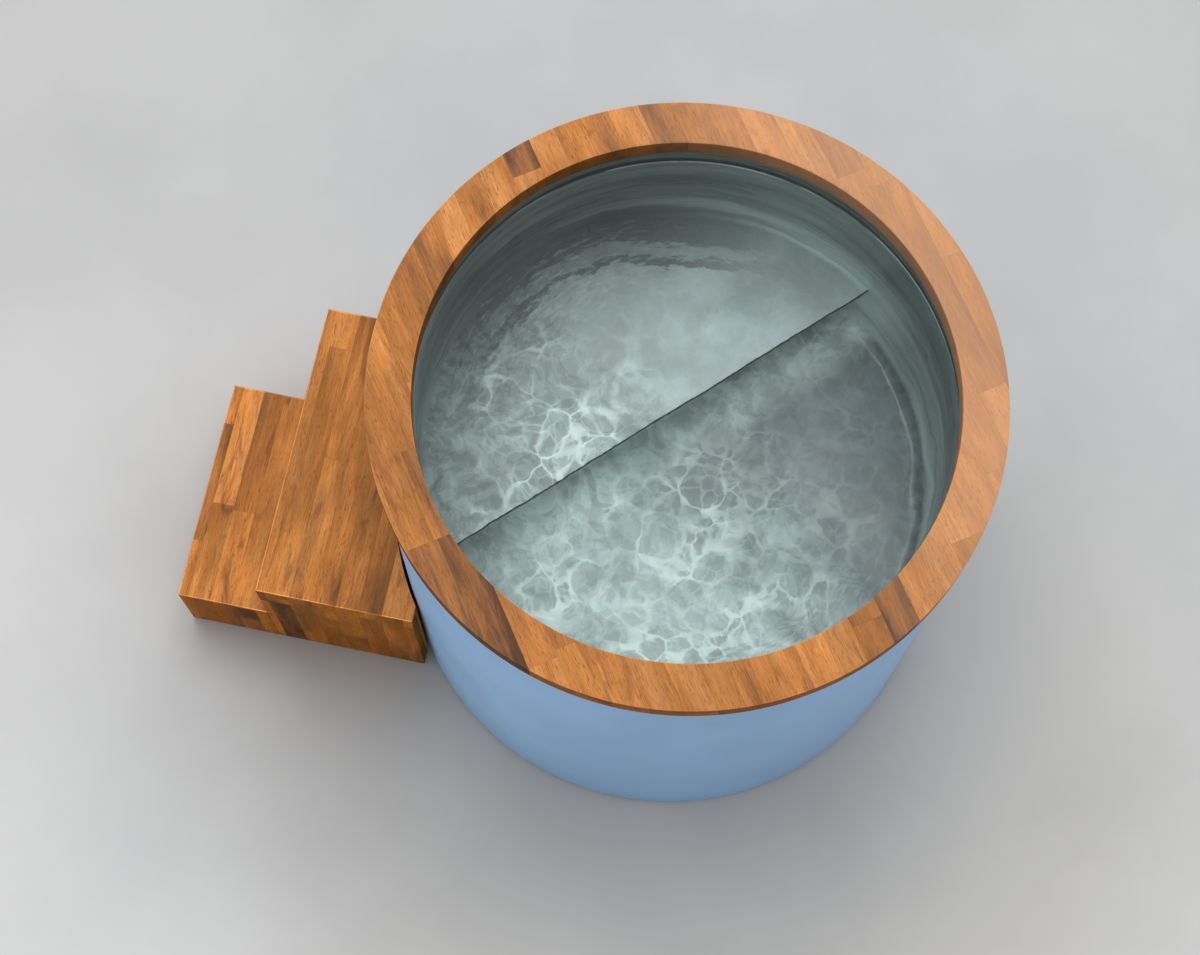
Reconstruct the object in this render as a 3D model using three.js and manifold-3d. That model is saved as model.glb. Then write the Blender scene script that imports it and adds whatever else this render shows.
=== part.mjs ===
// Round cold plunge tub with a bench, a wooden rim and a free-standing pair of wooden steps.
// Millimetres, +Z up, tub axis on Z, floor at z = 0, steps on the -X side.
import * as THREE from "three";
import { mergeVertices } from "three/addons/utils/BufferGeometryUtils.js";
import Module from "manifold-3d";

const wasm = await Module();
wasm.setup();

// Tub, overall
const tubHeight = 1073; // floor to the top of the rim
const shellRadius = 590;
const shellWall = 2;
const shellLip = 25; // turned-in edge at the top and bottom of the shell
const shellFoot = 6; // shell stands this far off the floor
const insulationThickness = 60;

// Rim board
const rimThickness = 45;
const rimOverhang = 10; // past the shell
const rimLip = 11; // past the tank wall
const rimEdgeRound = 2;
const sealThickness = 3;
const sealInset = 4;

// Tank
const tankWall = 4;
const tankCorner = 40; // round between tank floor and wall

// Base
const basePlateThickness = 18;
const padRadius = 45;
const padInset = 48; // pads inside the shell's lip
const padCount = 4;

// Bench across the tank, seen along its bearing from the tub axis
const benchBearing = 134.5; // from +X; the tub's own +X points at the bench
const benchFront = 80; // tub axis to the seat's front edge
const seatHeight = 640; // top of the seat
const seatThickness = 22;
const seatNosing = 40; // seat past the front panel
const benchPanel = 12; // front panel and ribs
const benchFootGap = 40; // water passes under the front panel
const ribOffset = 190; // each side of the bench's middle
const ribDepth = 180;
const ledgerWidth = 24;
const ledgerHeight = 28;

// Drain, under the bench
const drainReach = 300; // tub axis to the drain
const wasteClearance = 5; // waste pipe above the base plate
const drainBore = 26;
const drainWall = 4;
const drainFlangeWidth = 15; // past the drain's tube
const drainFlange = 4;
const drainGasket = 2;
const drainTail = 350; // drain body below the top of the tank floor
const elbowSocket = 18; // elbow inside the drain body
const drainNut = 10;
const grateThickness = 3;
const grateHole = 4;
const grateHoles = 6;
const elbowWall = 4;
const elbowBend = 36;
const elbowStraight = 16; // past the bend, inside the waste pipe
const grommetWidth = 12;

// Ball valve on the end of the waste pipe
const valveGap = 12; // shell to the valve
const valveWall = 10; // around the waste pipe
const valveSocket = 28;
const valveShoulder = 7; // between the ball and the sockets
const valveBore = 16;
const ballWall = 6; // around the ball's bore
const ballGap = 0.6;
const stemRadius = 6;
const neckWall = 8; // around the stem
const neckRise = 10; // above the valve body
const leverLength = 100;
const leverWidth = 16;
const leverThickness = 6;
const leverHubWall = 8; // around the stem
const leverHubHeight = 9;
const stemProud = 3; // stem above the lever's hub

// Hose tail in the valve's outlet
const tailSocket = 16;
const tailBore = 12;
const tailWall = 8; // at the thread
const tailCollarRise = 7; // past the thread
const tailCollarWidth = 9;
const barbRoot = 2; // wall between the barbs
const barbRise = 3;
const tailBarbs = 3;
const tailBarbPitch = 12;

// Circulation ports, under the bench
const portSpread = 10; // from the drain's bearing to a port, and on to the next
const portHeight = 538;
const portBore = 12;
const portWall = 4;
const portFlangeWidth = 18; // past the tube
const portFlange = 6;
const portGasketWidth = 14;
const portGasket = 3;
const portNutWidth = 12;
const portNut = 14;
const portReach = 44; // tube past the shell
const capWall = 4;

// Steps
const stepGap = 7; // shell to the curved back of the steps
const upperGoing = 233; // upper tread at its narrowest
const lowerGoing = 203;
const lowerRise = 209;
const upperRise = 191;
const upperLength = 657;
const lowerLength = 502;
const stepNearEnd = -379; // both steps are flush at this end
const backCorner = 341; // upper riser to the straight stretch of the back
const board = 28;
const backThickness = 15; // curved back of the upper step
const cleat = 24;
const stepFoot = 6; // boards clear of the floor
const footRadius = 12;

// Fits
const seat = 0.3; // between pieces that touch
const threadGap = 0.4; // between pieces that screw or slide together
const roundSides = 72;
const smallSides = 20;
const holeSides = 12;
const bendSteps = 6; // facets round a quarter bend

// Derived radii and heights
const shellInside = shellRadius - shellWall;
const tankOutside = shellInside - insulationThickness;
const tankRadius = tankOutside - tankWall;
const rimOuter = shellRadius + rimOverhang;
const rimInner = tankRadius - rimLip;
const rimBottom = tubHeight - rimThickness;
const tankTop = rimBottom - sealThickness - seat;
const flangeBottom = tankTop - tankWall;
const flangeRadius = shellRadius - sealInset;
const shellTop = flangeBottom - seat;
const basePlateBottom = shellFoot + shellWall + seat;
const basePlateTop = basePlateBottom + basePlateThickness;
const padCircle = shellInside - shellLip - padInset - padRadius;
const drainTube = drainBore + drainWall;
const drainFlangeRadius = drainTube + drainFlangeWidth;
const wasteHeight = basePlateTop + wasteClearance + drainTube; // middle of the waste pipe
const tailBottom = wasteHeight + elbowBend + seat;
const tankFloorHeight = tailBottom + drainTail; // top of the tank floor
const tankUnderside = tankFloorHeight - tankWall;
const tankSeam = tankFloorHeight + tankCorner;
const fitInTank = tankRadius * Math.cos(Math.PI / roundSides) - seat;
const seatUnderside = seatHeight - seatThickness;
const panelFront = benchFront + seatNosing;
const panelBack = panelFront + benchPanel;
const ballRadius = valveBore + ballWall;
const ballRoom = ballRadius + ballGap;
const valveBodyRadius = drainTube + valveWall;
const valveInlet = ballRoom + valveShoulder + valveSocket; // ball's middle to the valve's inlet end
const valveOutlet = ballRoom + valveShoulder + tailSocket;
const valveReach = shellRadius + valveGap + valveInlet;
const neckHeight = valveBodyRadius + neckRise;
const tailThread = tailBore + tailWall;
const portTube = portBore + portWall;
const portSlip = portTube + threadGap;
const scoopRadius = shellRadius + stepGap;
const upperRiserX = -(scoopRadius + upperGoing);
const lowerRiserX = upperRiserX - lowerGoing;
const stepBackX = upperRiserX + backCorner;
const upperTop = lowerRise + upperRise;

const wood = new THREE.MeshStandardMaterial({ color: 0xa8642c, roughness: 0.45 });
const bluePaint = new THREE.MeshStandardMaterial({ color: 0x6f9dce, roughness: 0.4 });
const tank = new THREE.MeshStandardMaterial({ color: 0x6d7f7c, roughness: 0.3 });
const foam = new THREE.MeshStandardMaterial({ color: 0xd8cfa8, roughness: 0.95 });
const plate = new THREE.MeshStandardMaterial({ color: 0x4b4d4f, roughness: 0.7 });
const rubber = new THREE.MeshStandardMaterial({ color: 0x1d1d1e, roughness: 0.85 });
const plastic = new THREE.MeshStandardMaterial({ color: 0x3b3e40, roughness: 0.5 });
const steel = new THREE.MeshStandardMaterial({ color: 0xb4b8ba, roughness: 0.3, metalness: 1 });
const brass = new THREE.MeshStandardMaterial({ color: 0xb9975a, roughness: 0.35, metalness: 1 });

const radians = THREE.MathUtils.degToRad;

// A closed geometry as a solid for cutting and joining
function solidOf(geometry) {
  const bare = geometry.index ? geometry.toNonIndexed() : geometry.clone();
  bare.deleteAttribute("normal");
  bare.deleteAttribute("uv");
  const merged = mergeVertices(bare, 1e-4);
  const corners = merged.index.array;
  const kept = [];
  for (let i = 0; i < corners.length; i += 3) {
    const [a, b, c] = corners.subarray(i, i + 3);
    if (a !== b && b !== c && c !== a) kept.push(a, b, c);
  }
  const vertProperties = merged.attributes.position.array;
  return new wasm.Manifold(new wasm.Mesh({ numProp: 3, vertProperties, triVerts: new Uint32Array(kept) }));
}

function geometryOf(solid) {
  const { vertProperties, triVerts } = solid.getMesh();
  const geometry = new THREE.BufferGeometry();
  geometry.setAttribute("position", new THREE.BufferAttribute(vertProperties, 3));
  geometry.setIndex(new THREE.BufferAttribute(triVerts, 1));
  return geometry;
}

function cut(geometry, tools) {
  const solids = tools.map(solidOf);
  return geometryOf(solids.reduce((left, tool) => left.subtract(tool), solidOf(geometry)));
}

function join(geometries) {
  return geometryOf(geometries.map(solidOf).reduce((whole, piece) => whole.add(piece)));
}

function common(geometry, other) {
  return geometryOf(solidOf(geometry).intersect(solidOf(other)));
}

// A box from its low corner to its high corner
function block([x0, y0, z0], [x1, y1, z1]) {
  const box = new THREE.BoxGeometry(x1 - x0, y1 - y0, z1 - z0);
  return box.translate((x0 + x1) / 2, (y0 + y1) / 2, (z0 + z1) / 2);
}

// A [radius, height] outline turned about Z, running out along its underside and up its outside
function turned(outline, sides = roundSides) {
  const points = outline.map(([r, z]) => new THREE.Vector2(r, z));
  return new THREE.LatheGeometry(points, sides).rotateX(Math.PI / 2);
}

function disc(radius, z0, z1, sides = roundSides) {
  return turned([[0, z0], [radius, z0], [radius, z1], [0, z1]], sides);
}

function ring(inner, outer, z0, z1, sides = roundSides) {
  return turned([[inner, z0], [outer, z0], [outer, z1], [inner, z1], [inner, z0]], sides);
}

// Lays a piece that was turned about Z along +X instead
function alongX(geometry) {
  return geometry.rotateY(Math.PI / 2);
}

function addPiece(parent, name, geometry, material) {
  const mesh = new THREE.Mesh(geometry, material);
  mesh.name = name;
  parent.add(mesh);
  return mesh;
}

function turnedGroup(parent, bearing) {
  const group = new THREE.Group();
  group.rotation.z = radians(bearing);
  parent.add(group);
  return group;
}

// Rounded stretch of an outline: a quarter turn about a centre
function quarter(centreR, centreZ, radius, startAngle, endAngle) {
  const points = [];
  for (let i = 0; i <= bendSteps; i++) {
    const angle = radians(startAngle + ((endAngle - startAngle) * i) / bendSteps);
    points.push([centreR + radius * Math.cos(angle), centreZ + radius * Math.sin(angle)]);
  }
  return points;
}

const portBearings = { suction: -portSpread, return: -2 * portSpread };

// Round ways for the ports and the waste pipe through tank wall, insulation and shell
function portWays(radius) {
  return Object.values(portBearings).map((bearing) => {
    const way = alongX(disc(radius, tankRadius / 2, rimOuter, smallSides));
    return way.translate(0, 0, portHeight).rotateZ(radians(bearing));
  });
}

function wasteWay(radius) {
  return alongX(disc(radius, drainReach, rimOuter, smallSides)).translate(0, 0, wasteHeight);
}

function drainWay(radius, z0, z1) {
  return disc(radius, z0, z1, smallSides).translate(drainReach, 0, 0);
}

function makeShell() {
  const lipInside = shellInside - shellLip;
  const profile = [
    [lipInside, shellFoot],
    [shellRadius, shellFoot],
    [shellRadius, shellTop],
    [lipInside, shellTop],
    [lipInside, shellTop - shellWall],
    [shellInside, shellTop - shellWall],
    [shellInside, shellFoot + shellWall],
    [lipInside, shellFoot + shellWall],
    [lipInside, shellFoot],
  ];
  return cut(turned(profile), [...portWays(portSlip), wasteWay(drainTube + threadGap)]);
}

// Dished floor of the tank, up to the seam where its round corner meets the wall
function makeTankFloor() {
  const cornerR = tankRadius - tankCorner;
  const profile = [
    [0, tankUnderside],
    ...quarter(cornerR, tankSeam, tankCorner + tankWall, -90, 0),
    ...quarter(cornerR, tankSeam, tankCorner, 0, -90),
    [0, tankFloorHeight],
  ];
  return cut(turned(profile), [drainWay(drainTube + threadGap, 0, seatUnderside)]);
}

function makeTankWall() {
  const profile = [
    [tankRadius, tankSeam + seat],
    [tankOutside, tankSeam + seat],
    [tankOutside, flangeBottom],
    [flangeRadius, flangeBottom],
    [flangeRadius, tankTop],
    [tankRadius, tankTop],
    [tankRadius, tankSeam + seat],
  ];
  return cut(turned(profile), portWays(portSlip));
}

function makeWallInsulation() {
  const blanket = ring(
    tankOutside + seat,
    shellInside - seat,
    basePlateTop + seat,
    shellTop - shellWall - seat,
  );
  return cut(blanket, [...portWays(portSlip), wasteWay(drainTube + threadGap)]);
}

function makeFloorInsulation() {
  const slab = disc(tankOutside - seat, basePlateTop + seat, tankUnderside - seat);
  const channelHalf = drainTube + threadGap;
  const channel = block(
    [drainReach - drainFlangeRadius, -channelHalf, 0],
    [rimOuter, channelHalf, wasteHeight + channelHalf],
  );
  const pocket = drainWay(drainFlangeRadius + seat, 0, tankFloorHeight);
  return cut(slab, [channel, pocket]);
}

function makeRim() {
  const round = rimEdgeRound;
  const profile = [
    [rimInner + round, rimBottom],
    [rimOuter - round, rimBottom],
    [rimOuter, rimBottom + round],
    [rimOuter, tubHeight - round],
    [rimOuter - round, tubHeight],
    [rimInner + round, tubHeight],
    [rimInner, tubHeight - round],
    [rimInner, rimBottom + round],
    [rimInner + round, rimBottom],
  ];
  return turned(profile);
}

function addTub(parent) {
  addPiece(parent, "outer_shell", makeShell(), bluePaint);
  addPiece(parent, "tank_wall", makeTankWall(), tank);
  addPiece(parent, "tank_floor", makeTankFloor(), tank);
  addPiece(parent, "wall_insulation", makeWallInsulation(), foam);
  addPiece(parent, "floor_insulation", makeFloorInsulation(), foam);
  addPiece(parent, "base_plate", disc(shellInside - seat, basePlateBottom, basePlateTop), plate);
  addPiece(parent, "rim_board", makeRim(), wood);
  const sealOuter = flangeRadius - sealInset;
  const seal = ring(tankRadius + sealInset, sealOuter, rimBottom - sealThickness, rimBottom);
  addPiece(parent, "rim_seal", seal, rubber);
  const padTop = basePlateBottom - seat;
  addPiece(parent, "centre_pad", disc(padRadius, 0, padTop, smallSides), rubber);
  for (let i = 0; i < padCount; i++) {
    const spot = turnedGroup(parent, (i + 0.5) * (360 / padCount));
    const pad = addPiece(spot, `base_pad_${i + 1}`, disc(padRadius, 0, padTop, smallSides), rubber);
    pad.position.x = padCircle;
  }
}

// The inside of the tank less the fit
function tankRoom() {
  const profile = [
    [0, tankFloorHeight + seat],
    ...quarter(tankRadius - tankCorner, tankSeam, tankCorner - seat, -90, 0),
    [tankRadius - seat, tankTop],
    [0, tankTop],
  ];
  return turned(profile);
}

function addBench(parent) {
  const underSeat = seatUnderside - seat;
  const seatBoard = block([benchFront, -tankRadius, seatUnderside], [tankRadius, tankRadius, seatHeight]);
  addPiece(parent, "bench_seat", common(seatBoard, tankRoom()), tank);

  const panelFoot = tankFloorHeight + benchFootGap;
  const panel = block([panelFront, -tankRadius, panelFoot], [panelBack, tankRadius, underSeat]);
  addPiece(parent, "bench_front", common(panel, tankRoom()), tank);

  const ribStart = panelBack + seat;
  for (const [side, name] of [[-1, "bench_rib_1"], [1, "bench_rib_2"]]) {
    const y = side * ribOffset;
    const rib = block(
      [ribStart, y - benchPanel / 2, tankFloorHeight],
      [ribStart + ribDepth, y + benchPanel / 2, underSeat],
    );
    addPiece(parent, name, common(rib, tankRoom()), tank);
  }

  const bar = block([ribStart, -tankRadius, underSeat - ledgerHeight], [tankRadius, tankRadius, underSeat]);
  const ledger = cut(common(bar, tankRoom()), [disc(tankRadius - ledgerWidth, 0, seatHeight)]);
  addPiece(parent, "bench_ledger", ledger, tank);
}

// Bent pipe from straight down to straight out along +X
function makeElbow(top) {
  const outline = new THREE.Shape();
  outline.absarc(0, 0, drainBore - threadGap, 0, 2 * Math.PI, false);
  const bore = new THREE.Path();
  bore.absarc(0, 0, drainBore - threadGap - elbowWall, 0, 2 * Math.PI, true);
  outline.holes.push(bore);
  const bendTop = wasteHeight + elbowBend;
  const path = new THREE.CurvePath();
  const points = [new THREE.Vector3(drainReach, 0, top)];
  for (let i = 0; i <= bendSteps; i++) {
    const angle = (i / bendSteps) * (Math.PI / 2);
    const x = drainReach + elbowBend * (1 - Math.cos(angle));
    points.push(new THREE.Vector3(x, 0, bendTop - elbowBend * Math.sin(angle)));
  }
  points.push(new THREE.Vector3(drainReach + elbowBend + elbowStraight, 0, wasteHeight));
  points.slice(1).forEach((point, i) => path.add(new THREE.LineCurve3(points[i], point)));
  return new THREE.ExtrudeGeometry(outline, {
    steps: 2 * bendSteps,
    curveSegments: smallSides / 2,
    bevelEnabled: false,
    extrudePath: path,
  });
}

function makeGrate(z0) {
  const plain = disc(drainBore - threadGap, z0, z0 + grateThickness, smallSides);
  const drill = () => disc(grateHole, 0, seatUnderside, holeSides);
  const holeCircle = drainBore - 3 * grateHole;
  const holes = [drill()];
  for (let i = 0; i < grateHoles; i++) {
    holes.push(drill().translate(holeCircle, 0, 0).rotateZ((2 * Math.PI * i) / grateHoles));
  }
  return cut(plain, holes);
}

function addDrain(parent) {
  const gasketTop = tankFloorHeight + seat + drainGasket;
  const flangeTop = gasketTop + seat + drainFlange;
  const grateSeat = flangeTop - grateThickness - drainFlange;
  const rebate = drainBore - elbowWall;
  const body = turned(
    [
      [drainBore, tailBottom],
      [drainTube, tailBottom],
      [drainTube, gasketTop + seat],
      [drainFlangeRadius, gasketTop + seat],
      [drainFlangeRadius, flangeTop],
      [drainBore, flangeTop],
      [drainBore, grateSeat - seat],
      [rebate, grateSeat - seat],
      [rebate, grateSeat - seat - grateThickness],
      [drainBore, grateSeat - seat - grateThickness],
      [drainBore, tailBottom],
    ],
    smallSides,
  );
  const spot = new THREE.Group();
  spot.position.x = drainReach;
  parent.add(spot);
  addPiece(spot, "drain_body", body, steel);
  addPiece(spot, "drain_grate", makeGrate(grateSeat), steel);
  const gasketLow = tankFloorHeight + seat;
  const gasket = ring(drainTube + threadGap, drainFlangeRadius, gasketLow, gasketTop, smallSides);
  addPiece(spot, "drain_gasket", gasket, rubber);
  const nutTop = tankUnderside - seat;
  const nut = ring(drainTube + threadGap, drainFlangeRadius - seat, nutTop - drainNut, nutTop, smallSides);
  addPiece(spot, "drain_nut", nut, plastic);

  addPiece(parent, "drain_elbow", makeElbow(tailBottom + elbowSocket), plastic);
  const pipeStart = drainReach + elbowBend + seat;
  const pipeEnd = valveReach - ballRoom - valveShoulder - seat;
  const pipe = alongX(ring(drainBore, drainTube, pipeStart, pipeEnd, smallSides));
  addPiece(parent, "waste_pipe", pipe.translate(0, 0, wasteHeight), plastic);

  const grommetRadius = drainTube + grommetWidth;
  const collar = alongX(
    ring(drainTube + threadGap, grommetRadius, tankRadius, shellRadius + grommetWidth / 2, smallSides),
  ).translate(0, 0, wasteHeight);
  const grommet = cut(collar, [disc(shellRadius + seat, -tubHeight, tubHeight)]);
  addPiece(parent, "waste_grommet", grommet, rubber);
}

function makeValveBody() {
  const barrel = alongX(disc(valveBodyRadius, -valveInlet, valveOutlet, smallSides));
  const neck = disc(stemRadius + neckWall, 0, neckHeight, smallSides);
  const shoulder = ballRoom + valveShoulder;
  return cut(join([barrel, neck]), [
    alongX(disc(drainTube + threadGap, -2 * valveInlet, -shoulder, smallSides)),
    alongX(disc(valveBore, -2 * valveInlet, 2 * valveOutlet, smallSides)),
    alongX(disc(tailThread + threadGap, shoulder, 2 * valveOutlet, smallSides)),
    new THREE.SphereGeometry(ballRoom, smallSides, smallSides / 2).rotateX(Math.PI / 2),
    disc(stemRadius + threadGap, 0, 2 * neckHeight, smallSides),
  ]);
}

// Ball with its stem, closed: its bore lies across the pipe
function makeBall() {
  const ball = new THREE.SphereGeometry(ballRadius, smallSides, smallSides / 2).rotateX(Math.PI / 2);
  const drill = alongX(disc(valveBore - ballGap, -2 * ballRadius, 2 * ballRadius, smallSides));
  const bored = cut(ball, [drill.rotateZ(Math.PI / 2)]);
  const stemTop = neckHeight + seat + leverHubHeight + stemProud;
  const stem = disc(stemRadius, valveBore + ballGap, stemTop, smallSides);
  return join([bored, stem]);
}

function makeLever() {
  const low = neckHeight + seat;
  const hub = disc(stemRadius + leverHubWall, low, low + leverHubHeight, smallSides);
  const arm = block([-leverWidth / 2, -leverLength, low], [leverWidth / 2, 0, low + leverThickness]);
  const tip = disc(leverWidth / 2, low, low + leverThickness, smallSides).translate(0, -leverLength, 0);
  const stemHole = disc(stemRadius + threadGap / 2, 0, 2 * neckHeight, smallSides);
  return cut(join([hub, arm, tip]), [stemHole]);
}

function makeHoseTail() {
  const start = valveOutlet - tailSocket + seat;
  const collarStart = valveOutlet + seat;
  const collarEnd = collarStart + tailCollarWidth;
  const root = tailBore + barbRoot;
  const collar = tailThread + tailCollarRise;
  const outline = [
    [tailBore, start],
    [tailThread, start],
    [tailThread, collarStart],
    [collar, collarStart],
    [collar, collarEnd],
    [root, collarEnd],
  ];
  for (let i = 0; i < tailBarbs; i++) {
    const foot = collarEnd + i * tailBarbPitch;
    outline.push([root + barbRise, foot + tailBarbPitch / 3], [root, foot + tailBarbPitch]);
  }
  outline.push([tailBore, collarEnd + tailBarbs * tailBarbPitch], [tailBore, start]);
  return alongX(turned(outline, smallSides));
}

function addValve(parent) {
  const spot = new THREE.Group();
  spot.position.set(valveReach, 0, wasteHeight);
  parent.add(spot);
  addPiece(spot, "valve_body", makeValveBody(), brass);
  addPiece(spot, "valve_ball", makeBall(), steel);
  addPiece(spot, "valve_lever", makeLever(), bluePaint);
  addPiece(spot, "hose_tail", makeHoseTail(), brass);
}

function addPort(parent, name) {
  const gasketRadius = portTube + portGasketWidth;
  const gasketFace = Math.sqrt(fitInTank ** 2 - gasketRadius ** 2);
  const gasketBack = gasketFace - portGasket;
  const flangeFace = gasketBack - seat;
  const flangeBack = flangeFace - portFlange;
  const flangeEdge = portTube + portFlangeWidth;
  const tubeEnd = shellRadius + portReach;
  const body = turned(
    [
      [portBore, flangeBack],
      [flangeEdge, flangeBack],
      [flangeEdge, flangeFace],
      [portTube, flangeFace],
      [portTube, tubeEnd],
      [portBore, tubeEnd],
      [portBore, flangeBack],
    ],
    smallSides,
  );
  const nutStart = shellRadius + seat;
  const nutEnd = nutStart + portNut;
  const capStart = nutEnd + seat;
  const capInside = tubeEnd + seat;
  const capEnd = capInside + capWall;
  const cap = turned(
    [
      [portSlip, capStart],
      [portSlip + capWall, capStart],
      [portSlip + capWall, capEnd],
      [0, capEnd],
      [0, capInside],
      [portSlip, capInside],
      [portSlip, capStart],
    ],
    smallSides,
  );
  const pieces = [
    ["body", body, plastic],
    ["gasket", ring(portSlip, gasketRadius, gasketBack, gasketFace, smallSides), rubber],
    ["nut", ring(portSlip, portTube + portNutWidth, nutStart, nutEnd, smallSides), plastic],
    ["cap", cap, plastic],
  ];
  for (const [piece, geometry, material] of pieces) {
    addPiece(parent, `${name}_${piece}`, alongX(geometry).translate(0, 0, portHeight), material);
  }
}

// Clears the curved back of the steps, which follows the shell
function scooped(geometry) {
  return cut(geometry, [disc(scoopRadius, -tubHeight, tubHeight)]);
}

// A tread whose listed ends, as outward [x, y] directions, are mitred from its top edge inwards.
// With a clearance it is the room to cut for it in the boards below.
function mitredTread(low, high, ends, clearance) {
  const [x0, y0, z0] = low;
  let tread = solidOf(block([x0, y0, z0 - clearance], high));
  for (const [x, y] of ends) {
    const corner = x < 0 || y < 0 ? low : high;
    const edge = high[2] - x * corner[0] - y * corner[1];
    tread = tread.trimByPlane([-x, -y, 1], edge / Math.SQRT2 + seat - clearance);
  }
  return geometryOf(tread);
}

function addSteps(parent) {
  const near = stepNearEnd;
  const upperFar = near + upperLength;
  const lowerFar = near + lowerLength;
  const underUpper = upperTop - board - seat;
  const underLower = lowerRise - board - seat;
  const lowerBack = upperRiserX - seat;
  const mitredEnds = [[-1, 0], [0, -1], [0, 1]];

  const upperLow = [upperRiserX, near, upperTop - board];
  const upperHigh = [stepBackX, upperFar, upperTop];
  const upperTread = mitredTread(upperLow, upperHigh, mitredEnds, 0);
  const upperRoom = mitredTread(upperLow, upperHigh, mitredEnds, seat);
  addPiece(parent, "upper_tread", scooped(upperTread), wood);
  const lowerLow = [lowerRiserX, near, lowerRise - board];
  const lowerHigh = [lowerBack, lowerFar, lowerRise];
  const lowerTread = mitredTread(lowerLow, lowerHigh, mitredEnds, 0);
  const lowerRoom = mitredTread(lowerLow, lowerHigh, mitredEnds, seat);
  addPiece(parent, "lower_tread", lowerTread, wood);

  const nearInside = near + board;
  const sideUpper = block([upperRiserX, near, stepFoot], [stepBackX, nearInside, upperTop]);
  const sideLower = block([lowerRiserX, near, stepFoot], [upperRiserX, nearInside, lowerRise]);
  const nearSide = cut(join([sideUpper, sideLower]), [upperRoom, lowerRoom]);
  addPiece(parent, "near_side", scooped(nearSide), wood);
  const farUpper = block([upperRiserX, upperFar - board, stepFoot], [stepBackX, upperFar, upperTop]);
  addPiece(parent, "upper_far_side", scooped(cut(farUpper, [upperRoom])), wood);
  const farLower = block([lowerRiserX, lowerFar - board, stepFoot], [lowerBack, lowerFar, lowerRise]);
  addPiece(parent, "lower_far_side", cut(farLower, [lowerRoom]), wood);

  const innerNear = nearInside + seat;
  const innerUpperFar = upperFar - board - seat;
  const innerLowerFar = lowerFar - board - seat;
  const upperRiserBack = upperRiserX + board;
  const upperRiser = block([upperRiserX, innerNear, stepFoot], [upperRiserBack, innerUpperFar, upperTop]);
  addPiece(parent, "upper_riser", cut(upperRiser, [upperRoom]), wood);
  const lowerRiserBack = lowerRiserX + board;
  const lowerRiser = block([lowerRiserX, innerNear, stepFoot], [lowerRiserBack, innerLowerFar, lowerRise]);
  addPiece(parent, "lower_riser", cut(lowerRiser, [lowerRoom]), wood);

  const backRoom = block([upperRiserX, innerNear, stepFoot], [stepBackX, innerUpperFar, underUpper]);
  const backOuter = scoopRadius + backThickness;
  const backFlat = block([stepBackX - backThickness, innerNear, 0], [stepBackX, innerUpperFar, upperTop]);
  const backBand = join([disc(backOuter, 0, upperTop), backFlat]);
  addPiece(parent, "curved_back", scooped(common(backRoom, backBand)), wood);

  const middle = (innerNear + innerUpperFar) / 2;
  const ribRoom = block(
    [upperRiserBack + seat, middle - board / 2, stepFoot],
    [stepBackX, middle + board / 2, underUpper],
  );
  const rib = cut(ribRoom, [disc(backOuter + seat, -tubHeight, tubHeight)]);
  addPiece(parent, "middle_rib", rib, wood);

  const upperCleatStart = upperRiserBack + seat;
  const upperCleatEnd = -backOuter - seat;
  const lowerCleatStart = lowerRiserBack + seat;
  const lowerCleatEnd = lowerBack - seat;
  const cleats = [
    ["upper_near_cleat", upperCleatStart, upperCleatEnd, innerNear, underUpper],
    ["upper_far_cleat", upperCleatStart, upperCleatEnd, innerUpperFar - cleat, underUpper],
    ["lower_near_cleat", lowerCleatStart, lowerCleatEnd, innerNear, underLower],
    ["lower_far_cleat", lowerCleatStart, lowerCleatEnd, innerLowerFar - cleat, underLower],
  ];
  for (const [name, x0, x1, y, top] of cleats) {
    addPiece(parent, name, block([x0, y, top - cleat], [x1, y + cleat, top]), wood);
  }

  const nearLine = near + board / 2;
  const upperFarLine = upperFar - board / 2;
  const feet = [
    [lowerRiserX + board / 2, nearLine],
    [-scoopRadius, nearLine],
    [lowerRiserX + board / 2, lowerFar - board / 2],
    [upperRiserX + board / 2, upperFarLine],
    [-scoopRadius, upperFarLine],
  ];
  feet.forEach(([x, y], i) => {
    const foot = disc(footRadius, 0, stepFoot - seat, smallSides).translate(x, y, 0);
    addPiece(parent, `step_foot_${i + 1}`, foot, rubber);
  });
}

const plungeTub = new THREE.Group();
const tub = turnedGroup(plungeTub, benchBearing);
addTub(tub);
addBench(tub);
addDrain(tub);
addValve(tub);
for (const [name, bearing] of Object.entries(portBearings)) {
  addPort(turnedGroup(tub, bearing), name);
}
addSteps(plungeTub);

export default plungeTub;
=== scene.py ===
# Round cold plunge tub with a wooden rim, a bench under water and free-standing wooden steps.
# Metres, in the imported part's frame: tub axis on Z, floor at z = 0, steps on the -X side.
import math
import random

import bmesh
import bpy
from mathutils import Matrix, Vector


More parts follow.
